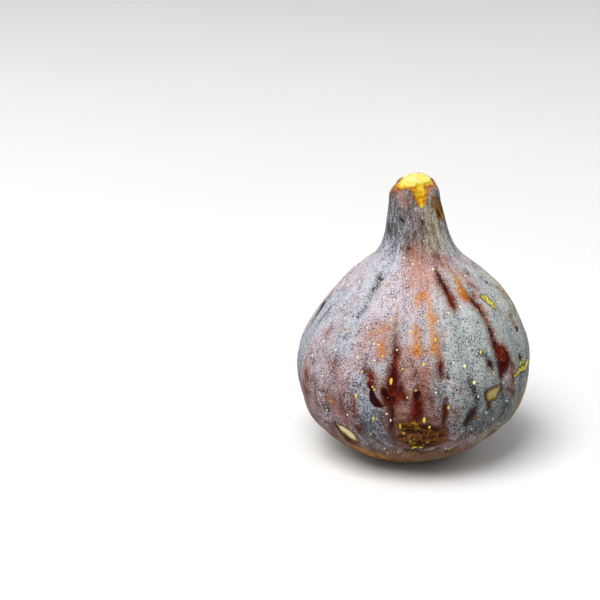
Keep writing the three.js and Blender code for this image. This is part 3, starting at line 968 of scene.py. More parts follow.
class SkinPaint(Paint):
    """The skin's node graph, with the noises and the shares of the surface that its colours are laid by."""

    def __init__(self, name: str) -> None:
        """Makes an empty material, and its noises and shares.

        Args:
            name: the material's name.
        """
        super().__init__(name)
        self.at = self.place()
        grain = self.attribute("grain", "Vector")

        # Noises: four in space, from fine to broad, and two that run up the skin.
        self.grit = self.noise(self.at, 3.6, 1.0, 0.6)
        self.tint = self.noise(self.at, 2.7, 1.0, 0.6)
        self.fine = self.noise(self.at, 1.3, 3.0, 0.65)
        self.mottle = self.noise(self.at, 0.35, 3.0, 0.6)
        self.fibre = self.noise(grain, 2.8, 2.0, 0.6)
        self.streak = self.noise(grain, 1.0, 3.0, 0.6)

        # The height, and the shares that are the right-hand side, the neck and the foot. The foot's darker
        # skin and bloom are partly worn bloom and partly painted shade.
        self.up = self.part(self.at, "Z")
        ragged_height = self.up + self.fine * 6.0
        self.right = self.step(self.part(grain, "X"), -4.0, 4.0)
        self.neck = self.step(ragged_height, 44.0, 53.0)
        self.foot = 1.0 - self.step(ragged_height, 1.0, 14.0)

        # Bloom rubbed thin, colder bloom, rubbed skin that shows warm between the cold stretches, and marks.
        self.thin = self.step(self.attribute(Tone.THIN.value), -3.0, 3.0)
        cool = self.attribute(Tone.COOL.value) + self.streak * 4.0 + self.fine * 4.0
        self.cool = self.step(cool, -3.0, 3.0)
        self.warm = self.thin * (1.0 - self.cool)
        self.frayed = self.fine * 0.6 + self.grit * 0.8 + self.fibre * 0.8 + self.streak * 0.5
        self.on = {mark: self._shown(mark) for mark in Mark}

        # The russet's folds and the cracks along them, and the cut's flesh.
        flat = self.node("ShaderNodeVectorMath", {"operation": "MULTIPLY"}, {0: self.at, 1: (0.3, 0.3, 1.3)})
        self.fold = self.noise(flat, 0.8, 2.0, 0.5)
        self.crack = (1.0 - self.step(abs(self.fold), 0.0, 0.03)) * self.step(self.fine, -0.1, 0.1)
        self.flesh = self.attribute("flesh")
        self.cut = self.step(self.flesh + self.fine * 0.3, -0.05, 0.05)

    def _shown(self, mark: Mark) -> Signal:
        """A mark's share of the surface, frayed along the skin's grain."""
        return self.step(self.attribute(mark.tone.value) + self.frayed * mark.ragged, mark.low, mark.high)


@dataclass(frozen=True)
class SkinFinish:
    """Ripe fig skin under its waxy bloom, with every mark and the cut flesh."""

    night: str = "#372025"
    wine: str = "#5c4445"
    dusk: str = "#34373f"
    umber: str = "#4a403a"
    foot_skin_and_shade: str = "#5e3a14"
    film: str = "#6b4a40"
    salmon: str = "#a06855"
    khaki: str = "#665a3e"
    khaki_bloom: str = "#aaa490"
    foot_bloom_and_shade: str = "#80704f"
    ochre: str = "#8f6622"
    ochre_dark: str = "#573712"
    maroon: str = "#300604"
    maroon_bright: str = "#571a09"
    shade: str = "#211513"
    amber: str = "#a4672c"
    amber_deep: str = "#82431b"
    ink: str = "#230404"
    russet: str = "#2a1205"
    russet_red: str = "#64380f"
    russet_gold: str = "#a07c26"
    rusty_bloom: str = "#936a52"
    tan_bloom: str = "#ad8662"
    lavender: str = "#a39ca6"
    rose: str = "#9c8c8e"
    slate: str = "#999da4"
    stone: str = "#979d9b"
    frost_and_painted_light: str = "#c2bdc3"
    chip: str = "#75602f"
    chip_pale: str = "#9c8f5c"
    chip_cream: str = "#c8c192"
    bark: str = "#3b240e"
    lime: str = "#c4ba3c"
    lime_pale: str = "#d8cd66"
    lime_green: str = "#66601a"
    speck: str = "#d6cf9a"
    flesh: str = "#b8920f"
    flesh_pale: str = "#c6b757"
    flesh_cream: str = "#cfc987"
    flesh_green: str = "#8c8517"
    rind: str = "#94530c"
    rust: str = "#8a4a1e"
    bare_roughness: float = 0.36
    waxed_roughness: float = 0.62
    relief_strength: float = 0.4
    relief_depth: float = 0.12
    ior: float = 1.4
    specular: float = 0.05

    def made(self) -> bpy.types.Material:
        """Builds the material.

        Returns:
            The material.
        """
        p = SkinPaint("fig_skin")
        wax = self._wax(p)
        colour = p.blend(wax, self._skin(p), self._bloom(p))
        colour = self._scraped(p, colour)
        colour = self._cut(p, colour)
        russet = p.on[Mark.RUSSET]
        rough = p.between(wax, self.bare_roughness, self.waxed_roughness) + russet * 0.1 - p.cut * 0.05
        grains = p.grit * 0.35 + p.fine * 0.4 + wax * 0.35
        height = grains + p.crack * russet * 1.2 - p.on[Mark.CHIP] * 0.5
        return p.finish(
            Base_Color=colour,
            Roughness=rough,
            Normal=p.bumped(height, self.relief_strength, self.relief_depth),
            IOR=self.ior,
            Specular_IOR_Level=self.specular,
        )

    def _skin(self, p: SkinPaint) -> Signal:
        """The colour of the skin itself, from its dark ground to its marks."""
        ground = p.graded(p.streak + p.fine * 0.6, -0.12, 0.12, self.night, self.wine)
        ochres = p.graded(p.streak, -0.12, 0.1, self.ochre_dark, self.ochre)
        reds = p.graded(p.fine + p.streak + p.fibre * 0.6, -0.12, 0.22, self.maroon, self.maroon_bright)
        ambers = p.graded(p.fine, -0.12, 0.1, self.amber_deep, self.amber)
        corks = p.graded(p.fold + p.fine * 0.6, -0.1, 0.15, self.russet, self.russet_red)
        golds = p.graded(p.fine + p.fibre, -0.1, 0.1, self.amber_deep, self.russet_gold)
        return p.coats(
            ground,
            (p.neck, self.umber),
            (p.cool * (1.0 - p.neck * 0.4), self.dusk),
            # Darker skin at the foot: partly worn, partly painted shade.
            (p.foot, self.foot_skin_and_shade),
            (p.warm * 0.5, self.film),
            (p.on[Mark.KHAKI], self.khaki),
            (p.on[Mark.SALMON] * 0.8, self.salmon),
            (p.on[Mark.OCHRE], ochres),
            (p.on[Mark.MAROON], reds),
            (p.on[Mark.AMBER], ambers),
            (p.on[Mark.SHADE], self.shade),
            (p.on[Mark.INK], self.ink),
            (p.on[Mark.RUSSET], corks),
            (p.on[Mark.RUSSET] * p.crack * 0.6, self.russet_gold),
            (p.on[Mark.GILT], golds),
        )

    def _bloom(self, p: SkinPaint) -> Signal:
        """The colour of the bloom, which takes some of the skin's where it is thin."""
        hue = p.streak * 0.8 + p.fibre * 0.7 + p.mottle * 0.6 + p.tint + p.grit * 0.5
        return p.coats(
            p.graded(hue, -0.17, 0.13, self.rose, self.lavender),
            (p.step(p.cool + p.tint * 1.6 + p.fibre, 0.1, 0.9), p.blend(p.right, self.slate, self.stone)),
            # Paler bloom on the shoulders: partly a frostier bloom, partly painted light.
            (p.step(p.up, 26.0, 46.0) * (1.0 - p.neck) * 0.25, self.frost_and_painted_light),
            (p.warm * 0.7, self.rusty_bloom),
            (p.on[Mark.SALMON] * 0.4, self.rusty_bloom),
            (p.on[Mark.KHAKI] * 0.7, self.khaki_bloom),
            # Darker bloom at the foot: partly its own colour, partly painted shade.
            (p.foot * 0.85, self.foot_bloom_and_shade),
            (p.on[Mark.AMBER] * 0.6, self.tan_bloom),
            (p.on[Mark.MAROON] * 0.6, self.rusty_bloom),
        )

    def _wax(self, p: SkinPaint) -> Signal:
        """How much bloom covers each point: grains of wax, fewer where it is worn and pricked by pits."""
        haze = p.attribute("cover") - p.neck * 0.28 - p.thin * 0.2
        for mark, loss in BLOOM_LOSS.items():
            haze = haze - p.on[mark] * loss
        lengthwise = (p.streak * 0.8 + p.fibre * 0.6) * (1.0 + p.neck * 0.8)
        grains = p.grit * 2.3 * (1.0 - p.neck * 0.4) + p.fine * 0.5 + lengthwise
        pits = p.spots(p.at, 1.8, 0.12, 0.3)
        return p.step(haze + grains - pits * 0.6, 0.05, 0.95)

    def _scraped(self, p: SkinPaint, colour: Signal) -> Signal:
        """Lays pale specks, chips and yellow scars over the bloom."""
        chip_face = p.blend(p.right, self.chip_cream, self.chip_pale)
        scab = p.graded(p.fine + p.grit, -0.1, 0.05, self.lime_green, self.lime)
        return p.coats(
            colour,
            (p.spots(p.at, 0.5, 0.04, 0.1) * 0.5, self.speck),
            (p.on[Mark.CHIP_EDGE] * 0.8, self.bark),
            (p.on[Mark.LIME_EDGE] * 0.75, self.bark),
            (p.on[Mark.CHIP], p.blend(p.on[Mark.CHIP_HEART], self.chip, chip_face)),
            (p.on[Mark.LIME], p.blend(p.on[Mark.LIME_HEART], scab, self.lime_pale)),
        )

    def _cut(self, p: SkinPaint, colour: Signal) -> Signal:
        """Lays the cut's yellow flesh over the rest, paler in the middle, inside a rusty rim of skin. Its
        cream patches are partly pale flesh and partly painted highlights on the wet cut.
        """
        rim = p.step(p.flesh + p.fine * 0.8 + p.streak * 0.6, -0.18, -0.02)
        # Cream patches: partly pale flesh, partly painted highlights on the wet cut.
        pale_flesh_and_glint = p.step(p.flesh + p.fine, 0.16, 0.32) * p.step(p.tint + p.mottle, -0.05, 0.12)
        pith = p.coats(
            p.graded(p.flesh + p.fine * 0.5, 0.0, 0.16, self.rind, self.flesh),
            (p.step(p.flesh + p.fine * 0.6 + p.mottle * 0.3, 0.12, 0.26), self.flesh_pale),
            (pale_flesh_and_glint, self.flesh_cream),
            (p.step(p.tint + p.fine, 0.06, 0.16) * 0.6, self.flesh_green),
        )
        return p.coats(colour, (rim * 0.6, self.rust), (p.cut, pith))


@dataclass(frozen=True)
class FleckFinish:
    """Corky flecks, from pale to deep yellow as they ripen."""

    pale: str = "#cfcb98"
    deep: str = "#c4ac28"

    def made(self) -> bpy.types.Material:
        """Builds the material."""
        p = Paint("fleck_cork")
        at = p.place()
        colour = p.graded(p.attribute("ripe") + p.noise(at, 2.5, 2.0) * 0.8, 0.2, 0.8, self.pale, self.deep)
        grit = p.noise(at, 9.0, 2.0)
        rough, normal = p.between(grit, 0.62, 0.87), p.bumped(grit, 0.3, 0.05)
        return p.finish(Base_Color=colour, Roughness=rough, Normal=normal)


@dataclass(frozen=True)
class ScaleFinish:
    """The dry red-brown scales of the eye, the riper ones tan."""

    dark: str = "#3a150e"
    red: str = "#7d3a1f"
    tan: str = "#a07840"

    def made(self) -> bpy.types.Material:
        """Builds the material."""
        p = Paint("eye_scale")
        grain = p.noise(p.place(), 2.2, 3.0, 0.6)
        colour = p.graded(grain, -0.15, 0.1, self.dark, self.red)
        colour = p.graded(p.attribute("ripe") + grain, 0.5, 1.1, colour, self.tan)
        rough, normal = p.between(grain, 0.58, 0.83), p.bumped(grain, 0.4, 0.08)
        return p.finish(Base_Color=colour, Roughness=rough, Normal=normal)


@dataclass(frozen=True)
class RimFinish:
    """Torn skin that has dried to rust, and the green-gold ends of the fibres."""

    rust: str = "#8a4a1c"
    husk: str = "#4a2411"
    fibre: str = "#b0a12c"

    def made(self) -> bpy.types.Material:
        """Builds the material."""
        p = Paint("stalk_rim")
        ripe = p.attribute("ripe")
        grain = p.noise(p.place(), 3.0, 2.0, 0.6)
        dried = p.graded(grain + ripe * 0.5, 0.0, 0.45, self.rust, self.husk)
        colour = p.graded(ripe, 0.1, 0.3, self.fibre, dried)
        rough, normal = p.between(grain, 0.5, 0.7), p.bumped(grain, 0.4, 0.06)
        return p.finish(Base_Color=colour, Roughness=rough, Normal=normal)


@dataclass(frozen=True)
class FloorFinish:
    """A plain pale studio floor."""

    pale: str = "#cdccca"
    paler: str = "#cfcecd"
    roughness: float = 0.85

    def made(self) -> bpy.types.Material:
        """Builds the material."""
        p = Paint("studio_floor")
        tint = p.graded(p.noise(p.place(), 0.01, 1.0), -0.3, 0.3, self.pale, self.paler)
        return p.finish(Base_Color=tint, Roughness=self.roughness)


# ---------------------------------------------------------------------------------------------------------
# Pieces
# ---------------------------------------------------------------------------------------------------------


def mesh_object(name: str, points: np.ndarray, faces: Iterable[Iterable[int]]) -> bpy.types.Object:
    """Makes a smooth mesh object at the origin.

    Args:
        name: the object's name.
        points: its points, in millimetres.
        faces: lists of point numbers, wound so that faces point out.

    Returns:
        The new object, linked to the scene.
    """
    mesh = bpy.data.meshes.new(name)
    mesh.from_pydata((points * MM).tolist(), [], faces)
    mesh.update()
    mesh.shade_smooth()
    made = bpy.data.objects.new(name, mesh)
    bpy.context.scene.collection.objects.link(made)
    return made


def carry(piece: bpy.types.Object, name: str, values: np.ndarray) -> None:
    """Writes a number or a vector for each point on a mesh, for its finish or its growth to read.

    Args:
        piece: the mesh object.
        name: the attribute's name.
        values: a row for each point.
    """
    kind, key = ("FLOAT_VECTOR", "vector") if values.ndim == 2 else ("FLOAT", "value")
    layer = piece.data.attributes.new(name, kind, "POINT")
    layer.data.foreach_set(key, values.astype(np.float32).ravel())


class Zone(IntEnum):
    """The stretches of the skin, from the eye's middle to the cut's middle."""

    EYE = 0
    FOOT = 1
    SKIN = 2
    CUT = 3


@dataclass(frozen=True)
class Dent:
    """How deep a mark lies, in millimetres, and the closeness to it where that starts and where it is full.

    A depth below 0 stands out instead.
    """

    tone: Tone
    depth: float
    low: float
    high: float


# A point of the skin, the way out of it there and a way along it.
Spot = tuple[np.ndarray, np.ndarray, np.ndarray]


@dataclass
class FigSkin:
    """The fig's whole outside: eye, foot, ribbed body, neck and cut."""

    form: FigForm = field(default_factory=FigForm)
    finish: SkinFinish = field(default_factory=SkinFinish)
    facets: int = 384
    eye_rings: int = 20
    foot_rings: int = 4
    skin_rings: int = 208
    cut_rings: int = 20

    # The fine ribs: their waves, how they wander in radians, and how their height comes and goes.
    ribs: tuple[Wave, ...] = (Wave(47, 0.05, 3), Wave(83, 0.03, 11))
    rib_wander: Ripple = Ripple(4.0, 0.08)
    rib_share: float = 0.6
    rib_change: Ripple = Ripple(0.8, 0.16)
    # Ribs and swells are whole at this radius and over. They shrink with it, down to a least share.
    full_girth: float = 20.0
    least_girth: float = 0.3
    # The broad swells, the fine pits and the grain of the cut.
    swell: Ripple = Ripple(0.22, 0.11)
    pitting: Ripple = Ripple(0.035, 1.1)
    cut_grain: Ripple = Ripple(0.12, 0.8)
    # The russet's folds: their height, the share of it that lies below the plain skin, how much closer
    # they lie up the skin than round it, and the closeness to a mark where they start and are whole.
    fold_height: float = 0.28
    fold_base: float = 0.6
    fold_flatness: float = 2.2
    fold: Ripple = Ripple(2.0, 0.55)
    russet_range: Range = (-0.5, 1.0)
    # How the other marks lie in the skin.
    dents: tuple[Dent, ...] = (
        Dent(Tone.CHIP, 0.3, -0.3, 0.3),
        Dent(Tone.LIME, -0.15, -0.3, 0.3),
        Dent(Tone.INK, 0.06, 0.0, 0.6),
    )
    # The low relief fades in above the flat ring that the fig stands on.
    foot_fade: Range = (0.4, 4.0)

    # How far the bare flesh reaches below the cut's edge: the middle of front and back, how much more
    # at the front, how much more at the sides, and how much more on the left than on the right.
    bare_drop: float = 0.5
    bare_front: float = 0.1
    bare_sides: float = 1.4
    bare_left: float = 0.6
    # The tongue torn down the front: the degrees that it leans in its length, half its width in degrees,
    # its length, how far inside the flesh its middle counts, its end as a share of its length and the
    # least share of its width. Bare flesh lies deeper than the skin, by a depth, above a height.
    tear_lean: float = 14.0
    tear_half: float = 33.0
    tear_drop: float = 5.8
    tear_flesh: float = 0.13
    tear_end: float = 1.05
    tear_tip: float = 0.02
    tear_depth: float = 0.35
    tear_above: float = 52.0
    tear_range: Range = (-0.12, 0.08)

    # How thick the bloom lies: at the foot, and what the body adds, the neck loses and the grooves lose. The
    # thinner bloom low down bares darker skin, partly as wear and partly as painted shade, and what the
    # grooves lose is painted shade in them. Round the azimuth where it is dusty, the neck keeps most of it. A
    # groove of the full depth or more loses all that a groove can.
    cover_foot: float = 0.42
    cover_body: float = 0.36
    cover_neck: float = 0.2
    groove_painted_shade: float = 0.08
    body_range: Range = (10.0, 38.0)
    neck_range: Range = (45.0, 54.0)
    dusty_at: float = 45.0
    dusty_half: float = 60.0
    dusty_share: float = 0.9
    full_groove: float = 0.7

    # Marks are drawn at places bent by these noises, which are read somewhere else for round and for up.
    # A turn counts as if the radius were never less than the least one. Far is the closeness to no mark.
    drift: tuple[Ripple, ...] = (Ripple(0.4, 0.22), Ripple(0.35, 0.8))
    drift_round: float = 50.0
    drift_up: float = 90.0
    least_radius: float = 3.0
    far: float = -4.0
    # The grain runs round the axis at a fixed radius, and slowly up the skin, so that noise runs up the ribs.
    grain_radius: float = 9.0
    grain_rise: float = 0.28

    # Worked out while it is built: by ring, by facet, and then for every point.
    zone: np.ndarray = field(init=False, repr=False)
    radius: np.ndarray = field(init=False, repr=False)
    height: np.ndarray = field(init=False, repr=False)
    sway: np.ndarray = field(init=False, repr=False)
    out: np.ndarray = field(init=False, repr=False)
    arc: np.ndarray = field(init=False, repr=False)
    azimuth: np.ndarray = field(init=False, repr=False)
    drawn_at: np.ndarray = field(init=False, repr=False)
    drawn_arc: np.ndarray = field(init=False, repr=False)
    groove: np.ndarray = field(init=False, repr=False)
    marks: dict[Tone, np.ndarray] = field(init=False, repr=False)
    flesh: np.ndarray = field(init=False, repr=False)
    shift: np.ndarray = field(init=False, repr=False)
    points: np.ndarray = field(init=False, repr=False)

    def build(self) -> bpy.types.Object:
        """Makes the skin, hides the plain solid behind it and dresses it.

        Returns:
            The skin.
        """
        self._lay_rings()
        points = self._points()
        self.shift = self._shift(points)
        self.points = points - self.shift
        skin = mesh_object("fig_skin", self._joined(self.points), self._faces())
        self._carry(skin)
        skin.data.materials.append(self.finish.made())
        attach(skin, BODY)
        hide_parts(NODE)
        return skin

    def _lay_rings(self) -> None:
        """Lays out the rings from the eye's middle to the cut's middle, and the azimuth of each facet."""
        f = self.form
        # Rings lie evenly between the outline's points, so they are closest where those are.
        curve, slope = f.along_outline((len(f.outline) - 1) * np.linspace(0.0, 1.0, self.skin_rings))
        out = np.stack([slope[:, 1], -slope[:, 0]], axis=1)
        out /= np.linalg.norm(out, axis=1, keepdims=True)
        eye = np.linspace(0, f.eye_radius, self.eye_rings, endpoint=False)
        foot = np.linspace(f.eye_radius, f.foot_radius, self.foot_rings, endpoint=False)
        inwards = np.linspace(1, 0, self.cut_rings + 1)[1:]
        crown = f.outline[-1][1] + f.cut_crown * np.sin((1 - inwards) * math.pi / 2)
        low, top = len(eye) + len(foot), len(inwards)
        self.zone = np.repeat([int(zone) for zone in Zone], [len(eye), len(foot), len(curve), top])
        self.radius = np.concatenate([eye, foot, curve[:, 0], f.cut_radius * inwards])
        self.height = np.concatenate([np.zeros(low), curve[:, 1], crown])
        sways = curve[:, 2:]
        self.sway = np.concatenate([np.tile(sways[0], (low, 1)), sways, np.tile(sways[-1], (top, 1))])
        self.out = np.concatenate([np.tile([0.0, -1.0], (low, 1)), out, np.tile([0.0, 1.0], (top, 1))])
        steps = np.hypot(np.diff(self.radius), np.diff(self.height))
        self.arc = np.concatenate([[0.0], np.cumsum(steps)])
        self.azimuth = np.arange(self.facets) * 360.0 / self.facets

    def _placed(self, relief: np.ndarray) -> np.ndarray:
        """Points for a relief that stands square to the outline."""
        f = self.form
        turn = np.radians(self.azimuth)[None, :]
        radius = self.radius[:, None] + relief * self.out[:, :1]
        height = self.height[:, None] + relief * self.out[:, 1:]
        near_cut = smoothstep(height, f.cut_rise_low, f.outline[-1][1])
        height = height - f.cut_rise * near_cut * radius * np.cos(turn) / f.cut_radius
        x = self.sway[:, :1] + radius * np.sin(turn)
        y = self.sway[:, 1:] - radius * np.cos(turn)
        return np.stack([x, y, np.maximum(height, 0.0)], axis=-1)

    def _points(self) -> np.ndarray:
        """Every point of the skin, in millimetres, before it is centred."""
        f = self.form
        azimuth, height = self.azimuth[None, :], self.height[:, None]
        on_skin = (self.zone == Zone.SKIN)[:, None]
        coarse = np.where(on_skin, f.relief(azimuth, height), 0.0)
        plain = self._placed(coarse)
        self.groove = np.clip(-f.groove_relief(azimuth, height) / self.full_groove, 0, 1) * on_skin
        self._warp(plain)
        self.marks = self._all_marks()
        self.flesh = self._flesh()
        fine = self._fine_relief(plain) * smoothstep(height, *self.foot_fade) * on_skin
        relief = np.where((self.zone == Zone.CUT)[:, None], self.cut_grain.at(plain), coarse + fine)
        points = self._placed(relief)
        points[self.zone == Zone.EYE, :, 2] = self._eye_height()
        return points

    def _fine_relief(self, plain: np.ndarray) -> np.ndarray:
        """The low relief of ribs, swells, pits, folds and marks, in millimetres."""
        wander = self.rib_wander.at(plain)
        ribs = sum(wave.round(self.azimuth[None, :], wander) for wave in self.ribs)
        girth = np.clip(self.radius[:, None] / self.full_girth, self.least_girth, 1)
        fine = ribs * girth * (self.rib_share + self.rib_change.at(plain)) + girth * self.swell.at(plain)
        fine += self.pitting.at(plain)
        crests = 1 - np.abs(self.fold.at(plain * (1, 1, self.fold_flatness)))
        russet = smoothstep(self.marks[Tone.RUSSET], *self.russet_range)
        fine += russet * self.fold_height * (crests - self.fold_base)
        for dent in self.dents:
            fine -= dent.depth * smoothstep(self.marks[dent.tone], dent.low, dent.high)
        torn = smoothstep(self.flesh, *self.tear_range) * (self.height > self.tear_above)[:, None]
        return fine - self.tear_depth * torn

    def _eye_height(self) -> np.ndarray:
        """Height of the eye's bed, which its scales lie on."""
        f = self.form
        radius = self.radius[self.zone == Zone.EYE][:, None]
        return f.eye_depth * (1 - smoothstep(radius, f.eye_brim * f.eye_radius, f.eye_radius))

    def _warp(self, plain: np.ndarray) -> None:
        """Bends the azimuths and arcs that marks are drawn by, so that none is a plain stroke."""
        round_drift, up_drift = (
            sum(ripple.at(plain + offset) for ripple in self.drift)
            for offset in (self.drift_round, self.drift_up)
        )
        turn_per_mm = np.degrees(1.0 / np.maximum(self.radius, self.least_radius))[:, None]
        self.drawn_at = self.azimuth[None, :] + round_drift * turn_per_mm
        self.drawn_arc = self.arc[:, None] + up_drift

    def _all_marks(self) -> dict[Tone, np.ndarray]:
        """How far inside a mark of each tone every point is, in millimetres, and below 0 outside."""
        strokes = [Stroke(tone, path) for tone, paths in FRONT_STROKES.items() for path in paths]
        strokes += BackStrokes().made()
        found = {tone: np.full(self.drawn_at.shape, self.far) for tone in Tone}
        for stroke in strokes:
            for start, stop in zip(stroke.path, stroke.path[1:]):
                found[stroke.tone] = np.maximum(found[stroke.tone], self._inside(start, stop))
        return found

    def _inside(self, start: StrokePoint, stop: StrokePoint) -> np.ndarray:
        """How far inside one straight stretch of a stroke each point is, in millimetres."""
        on_skin = self.zone == Zone.SKIN
        ends = np.array([start, stop])
        arcs = np.interp(ends[:, 1], self.height[on_skin], self.arc[on_skin])
        radii = np.interp(ends[:, 1], self.height[on_skin], self.radius[on_skin])
        # Both ends, and every point, in millimetres round and up from the stretch's middle azimuth.
        middle = ends[:, 0].mean()
        sides = np.radians(ends[:, 0] - middle) * radii
        across = np.radians(turn_between(self.drawn_at, middle)) * self.radius[:, None] - sides[0]
        along = self.drawn_arc - arcs[0]
        way, rise = sides[1] - sides[0], arcs[1] - arcs[0]
        share = np.clip((across * way + along * rise) / (way**2 + rise**2), 0, 1)
        return start[2] + share * (stop[2] - start[2]) - np.hypot(across - share * way, along - share * rise)

    def bare_reach(self, azimuth: np.ndarray | float) -> np.ndarray | float:
        """How far below the cut's edge the flesh is bare, in millimetres along the outline.

        Args:
            azimuth: degrees round from the front.

        Returns:
            The distance.
        """
        turn = np.radians(azimuth)
        side = self.bare_sides * np.sin(turn) ** 2 - self.bare_left * np.sin(turn)
        return self.bare_drop + self.bare_front * np.cos(turn) + side

    def skin_end(self, azimuth: float) -> float:
        """The height on the plain outline at which the skin ends under the cut, in millimetres."""
        on_skin = self.zone == Zone.SKIN
        arcs = self.arc[on_skin]
        return float(np.interp(arcs[-1] - self.bare_reach(azimuth), arcs, self.height[on_skin]))

    def _flesh(self) -> np.ndarray:
        """How far each point is inside the bare flesh, as a share of the way to its middle, down to -1."""
        top = self.arc[self.zone == Zone.SKIN][-1]
        reach = self.bare_reach(self.azimuth[None, :])
        above = (self.arc[:, None] + self.drawn_arc) / 2 - top + reach
        inside = above / (self.form.cut_radius + reach)
        below = (top - self.arc)[:, None] / self.tear_drop
        half = self.tear_half * np.clip(self.tear_end - below, self.tear_tip, 1)
        tongue = self.tear_flesh * (1 - (turn_between(self.drawn_at, self.tear_lean * below) / half) ** 2)
        return np.clip(np.maximum(inside, np.where(below < self.tear_end, tongue, -1)), -1, 1)

    def _cover(self) -> np.ndarray:
        """How thick the bloom lies: thin at the foot, partly as wear and partly as painted shade, on the
        neck's left and back, and in the grooves as painted shade.
        """
        height = self.height[:, None]
        dusty = bump(turn_between(self.azimuth, self.dusty_at) / self.dusty_half)[None, :]
        neck = smoothstep(height, *self.neck_range) * (1 - self.dusty_share * dusty)
        body = self.cover_foot + self.cover_body * smoothstep(height, *self.body_range)
        return body - self.cover_neck * neck - self.groove_painted_shade * self.groove

    def _shift(self, points: np.ndarray) -> np.ndarray:
        """How far the points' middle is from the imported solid's middle, across and in depth."""
        low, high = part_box(NODE)
        middle = np.array((low + high) / 2)[:2] / MM
        found = (points.min(axis=(0, 1)) + points.max(axis=(0, 1)))[:2] / 2 - middle
        return np.array([*found, 0.0])

    def spot(self, azimuth: float, height: float) -> Spot:
        """A place on the finished skin.

        Args:
            azimuth: degrees round from the front.
            height: millimetres up the plain outline.

        Returns:
            The nearest point, in millimetres, the way out of the skin there and the way up along it.
        """
        rows = np.where(self.zone == Zone.SKIN)[0]
        row = int(rows[np.argmin(np.abs(self.height[rows] - height))])
        up, side, column = self._ways(row, azimuth)
        out = np.cross(side, up)
        return self.points[row, column], out / np.linalg.norm(out), up / np.linalg.norm(up)

    def cut_spot(self, azimuth: float, share: float) -> Spot:
        """A place on the cut.

        Args:
            azimuth: degrees round from the front.
            share: how far out from the cut's middle, from 0 to 1.

        Returns:
            The nearest point, in millimetres, the way out there and the way away from the middle.
        """
        rows = np.where(self.zone == Zone.CUT)[0]
        row = int(rows[np.argmin(np.abs(self.radius[rows] - share * self.form.cut_radius))])
        onward, side, column = self._ways(row, azimuth)
        away = -onward
        out = np.cross(away, side)
        out *= np.sign(out[2])
        return self.points[row, column], out / np.linalg.norm(out), away / np.linalg.norm(away)

    def _ways(self, row: int, azimuth: float) -> tuple[np.ndarray, np.ndarray, int]:
        """At a ring, the way to the next ring, the way round, and the facet at an azimuth."""
        column = round(azimuth / 360 * self.facets) % self.facets
        onward = self.points[row + 1, column] - self.points[row - 1, column]
        side = self.points[row, (column + 1) % self.facets] - self.points[row, column - 1]
        return onward, side, column

    def axis_at(self, height: float) -> np.ndarray:
        """The axis of the finished skin at a height of the plain outline."""
        row = int(np.argmin(np.abs(self.height - height)))
        return np.array([*self.sway[row], height]) - self.shift

    def _joined(self, grid: np.ndarray) -> np.ndarray:
        """The grid as a list, with one point for each pole."""
        return np.concatenate([grid[0, :1], grid[1:-1].reshape(-1, *grid.shape[2:]), grid[-1, :1]])

    def _faces(self) -> list[tuple[int, ...]]:
        """Quads between the rings and a fan at each pole, facing out."""
        n, rows = self.facets, len(self.radius) - 2
        last = rows * n + 1
        side = np.arange(n)
        after = (side + 1) % n
        start = 1 + np.arange(rows - 1)[:, None] * n
        quads = np.stack([start + side, start + after, start + n + after, start + n + side], axis=-1)
        base = last - n
        around = list(zip(side.tolist(), after.tolist()))
        fan = [(0, 1 + b, 1 + a) for a, b in around]
        cap = [(last, base + a, base + b) for a, b in around]
        return fan + [tuple(quad) for quad in quads.reshape(-1, 4).tolist()] + cap

    def _carry(self, skin: bpy.types.Object) -> None:
        """Writes the marks, the bloom's cover, the flesh and the grain on the mesh for its finish to read."""
        for tone, closeness in self.marks.items():
            carry(skin, tone.value, self._joined(closeness))
        carry(skin, "cover", self._joined(self._cover()))
        carry(skin, "flesh", self._joined(self.flesh))
        turn = np.radians(self.azimuth)[None, :]
        across, deep = self.grain_radius * np.sin(turn), self.grain_radius * np.cos(turn)
        grain = np.stack(np.broadcast_arrays(across, deep, self.grain_rise * self.arc[:, None]), axis=-1)
        carry(skin, "grain", self._joined(grain))


@dataclass(frozen=True)
class Seat:
    """Where a small rounded piece sits: its middle, its way out and its way up, and its three half sizes.

    The half sizes are across, up and out, in millimetres. ripe goes to its finish, from 0 to 1.
    """

    middle: np.ndarray
    out: np.ndarray
    up: np.ndarray
    halves: tuple[float, float, float]
    ripe: float


@dataclass
class SmallPieces:
    """Rounded pieces grown on seats by one geometry tree."""

    skin: FigSkin
    sides: int = 8
    rings: int = 5

    def grow(self, name: str, seats: list[Seat], finish: bpy.types.Material) -> bpy.types.Object:
        """Grows a piece on each seat.

        Args:
            name: the name of the object that holds them all.
            seats: where they sit.
            finish: their material.

        Returns:
            The object.
        """
        points = mesh_object(name + "_seats", np.array([seat.middle for seat in seats]), [])
        for label in ("out", "up", "halves", "ripe"):
            carry(points, label, np.array([getattr(seat, label) for seat in seats]))
        sizes = {"Sides": self.sides, "Rings": self.rings, "Unit": MM}
        pieces = grown(name, points, self._tree(name), sizes, finish)
        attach(pieces, BODY)
        return pieces

    def _tree(self, name: str) -> Growth:
        """A tree that puts a rounded grain on each point, turned by the point's own two directions."""
        kinds = {"Sides": "NodeSocketInt", "Rings": "NodeSocketInt", "Unit": "NodeSocketFloat"}
        g = Growth(name + "_growth", kinds)
        shape = {"Segments": g.input("Sides"), "Rings": g.input("Rings"), "Radius": g.input("Unit")}
        grain = g.node("GeometryNodeMeshUVSphere", None, shape)
        turn = g.node("FunctionNodeAlignRotationToVector", {"axis": "Z"}, {"Vector": g.vector("out")})
        turn = g.node(
            "FunctionNodeAlignRotationToVector",
            {"axis": "Y", "pivot_axis": "Z"},
            {"Rotation": turn, "Vector": g.vector("up")},
        )
        placed = {"Points": g.input("Geometry"), "Instance": grain, "Rotation": turn}
        placed["Scale"] = g.vector("halves")
        return g.done(g.node("GeometryNodeInstanceOnPoints", None, placed))


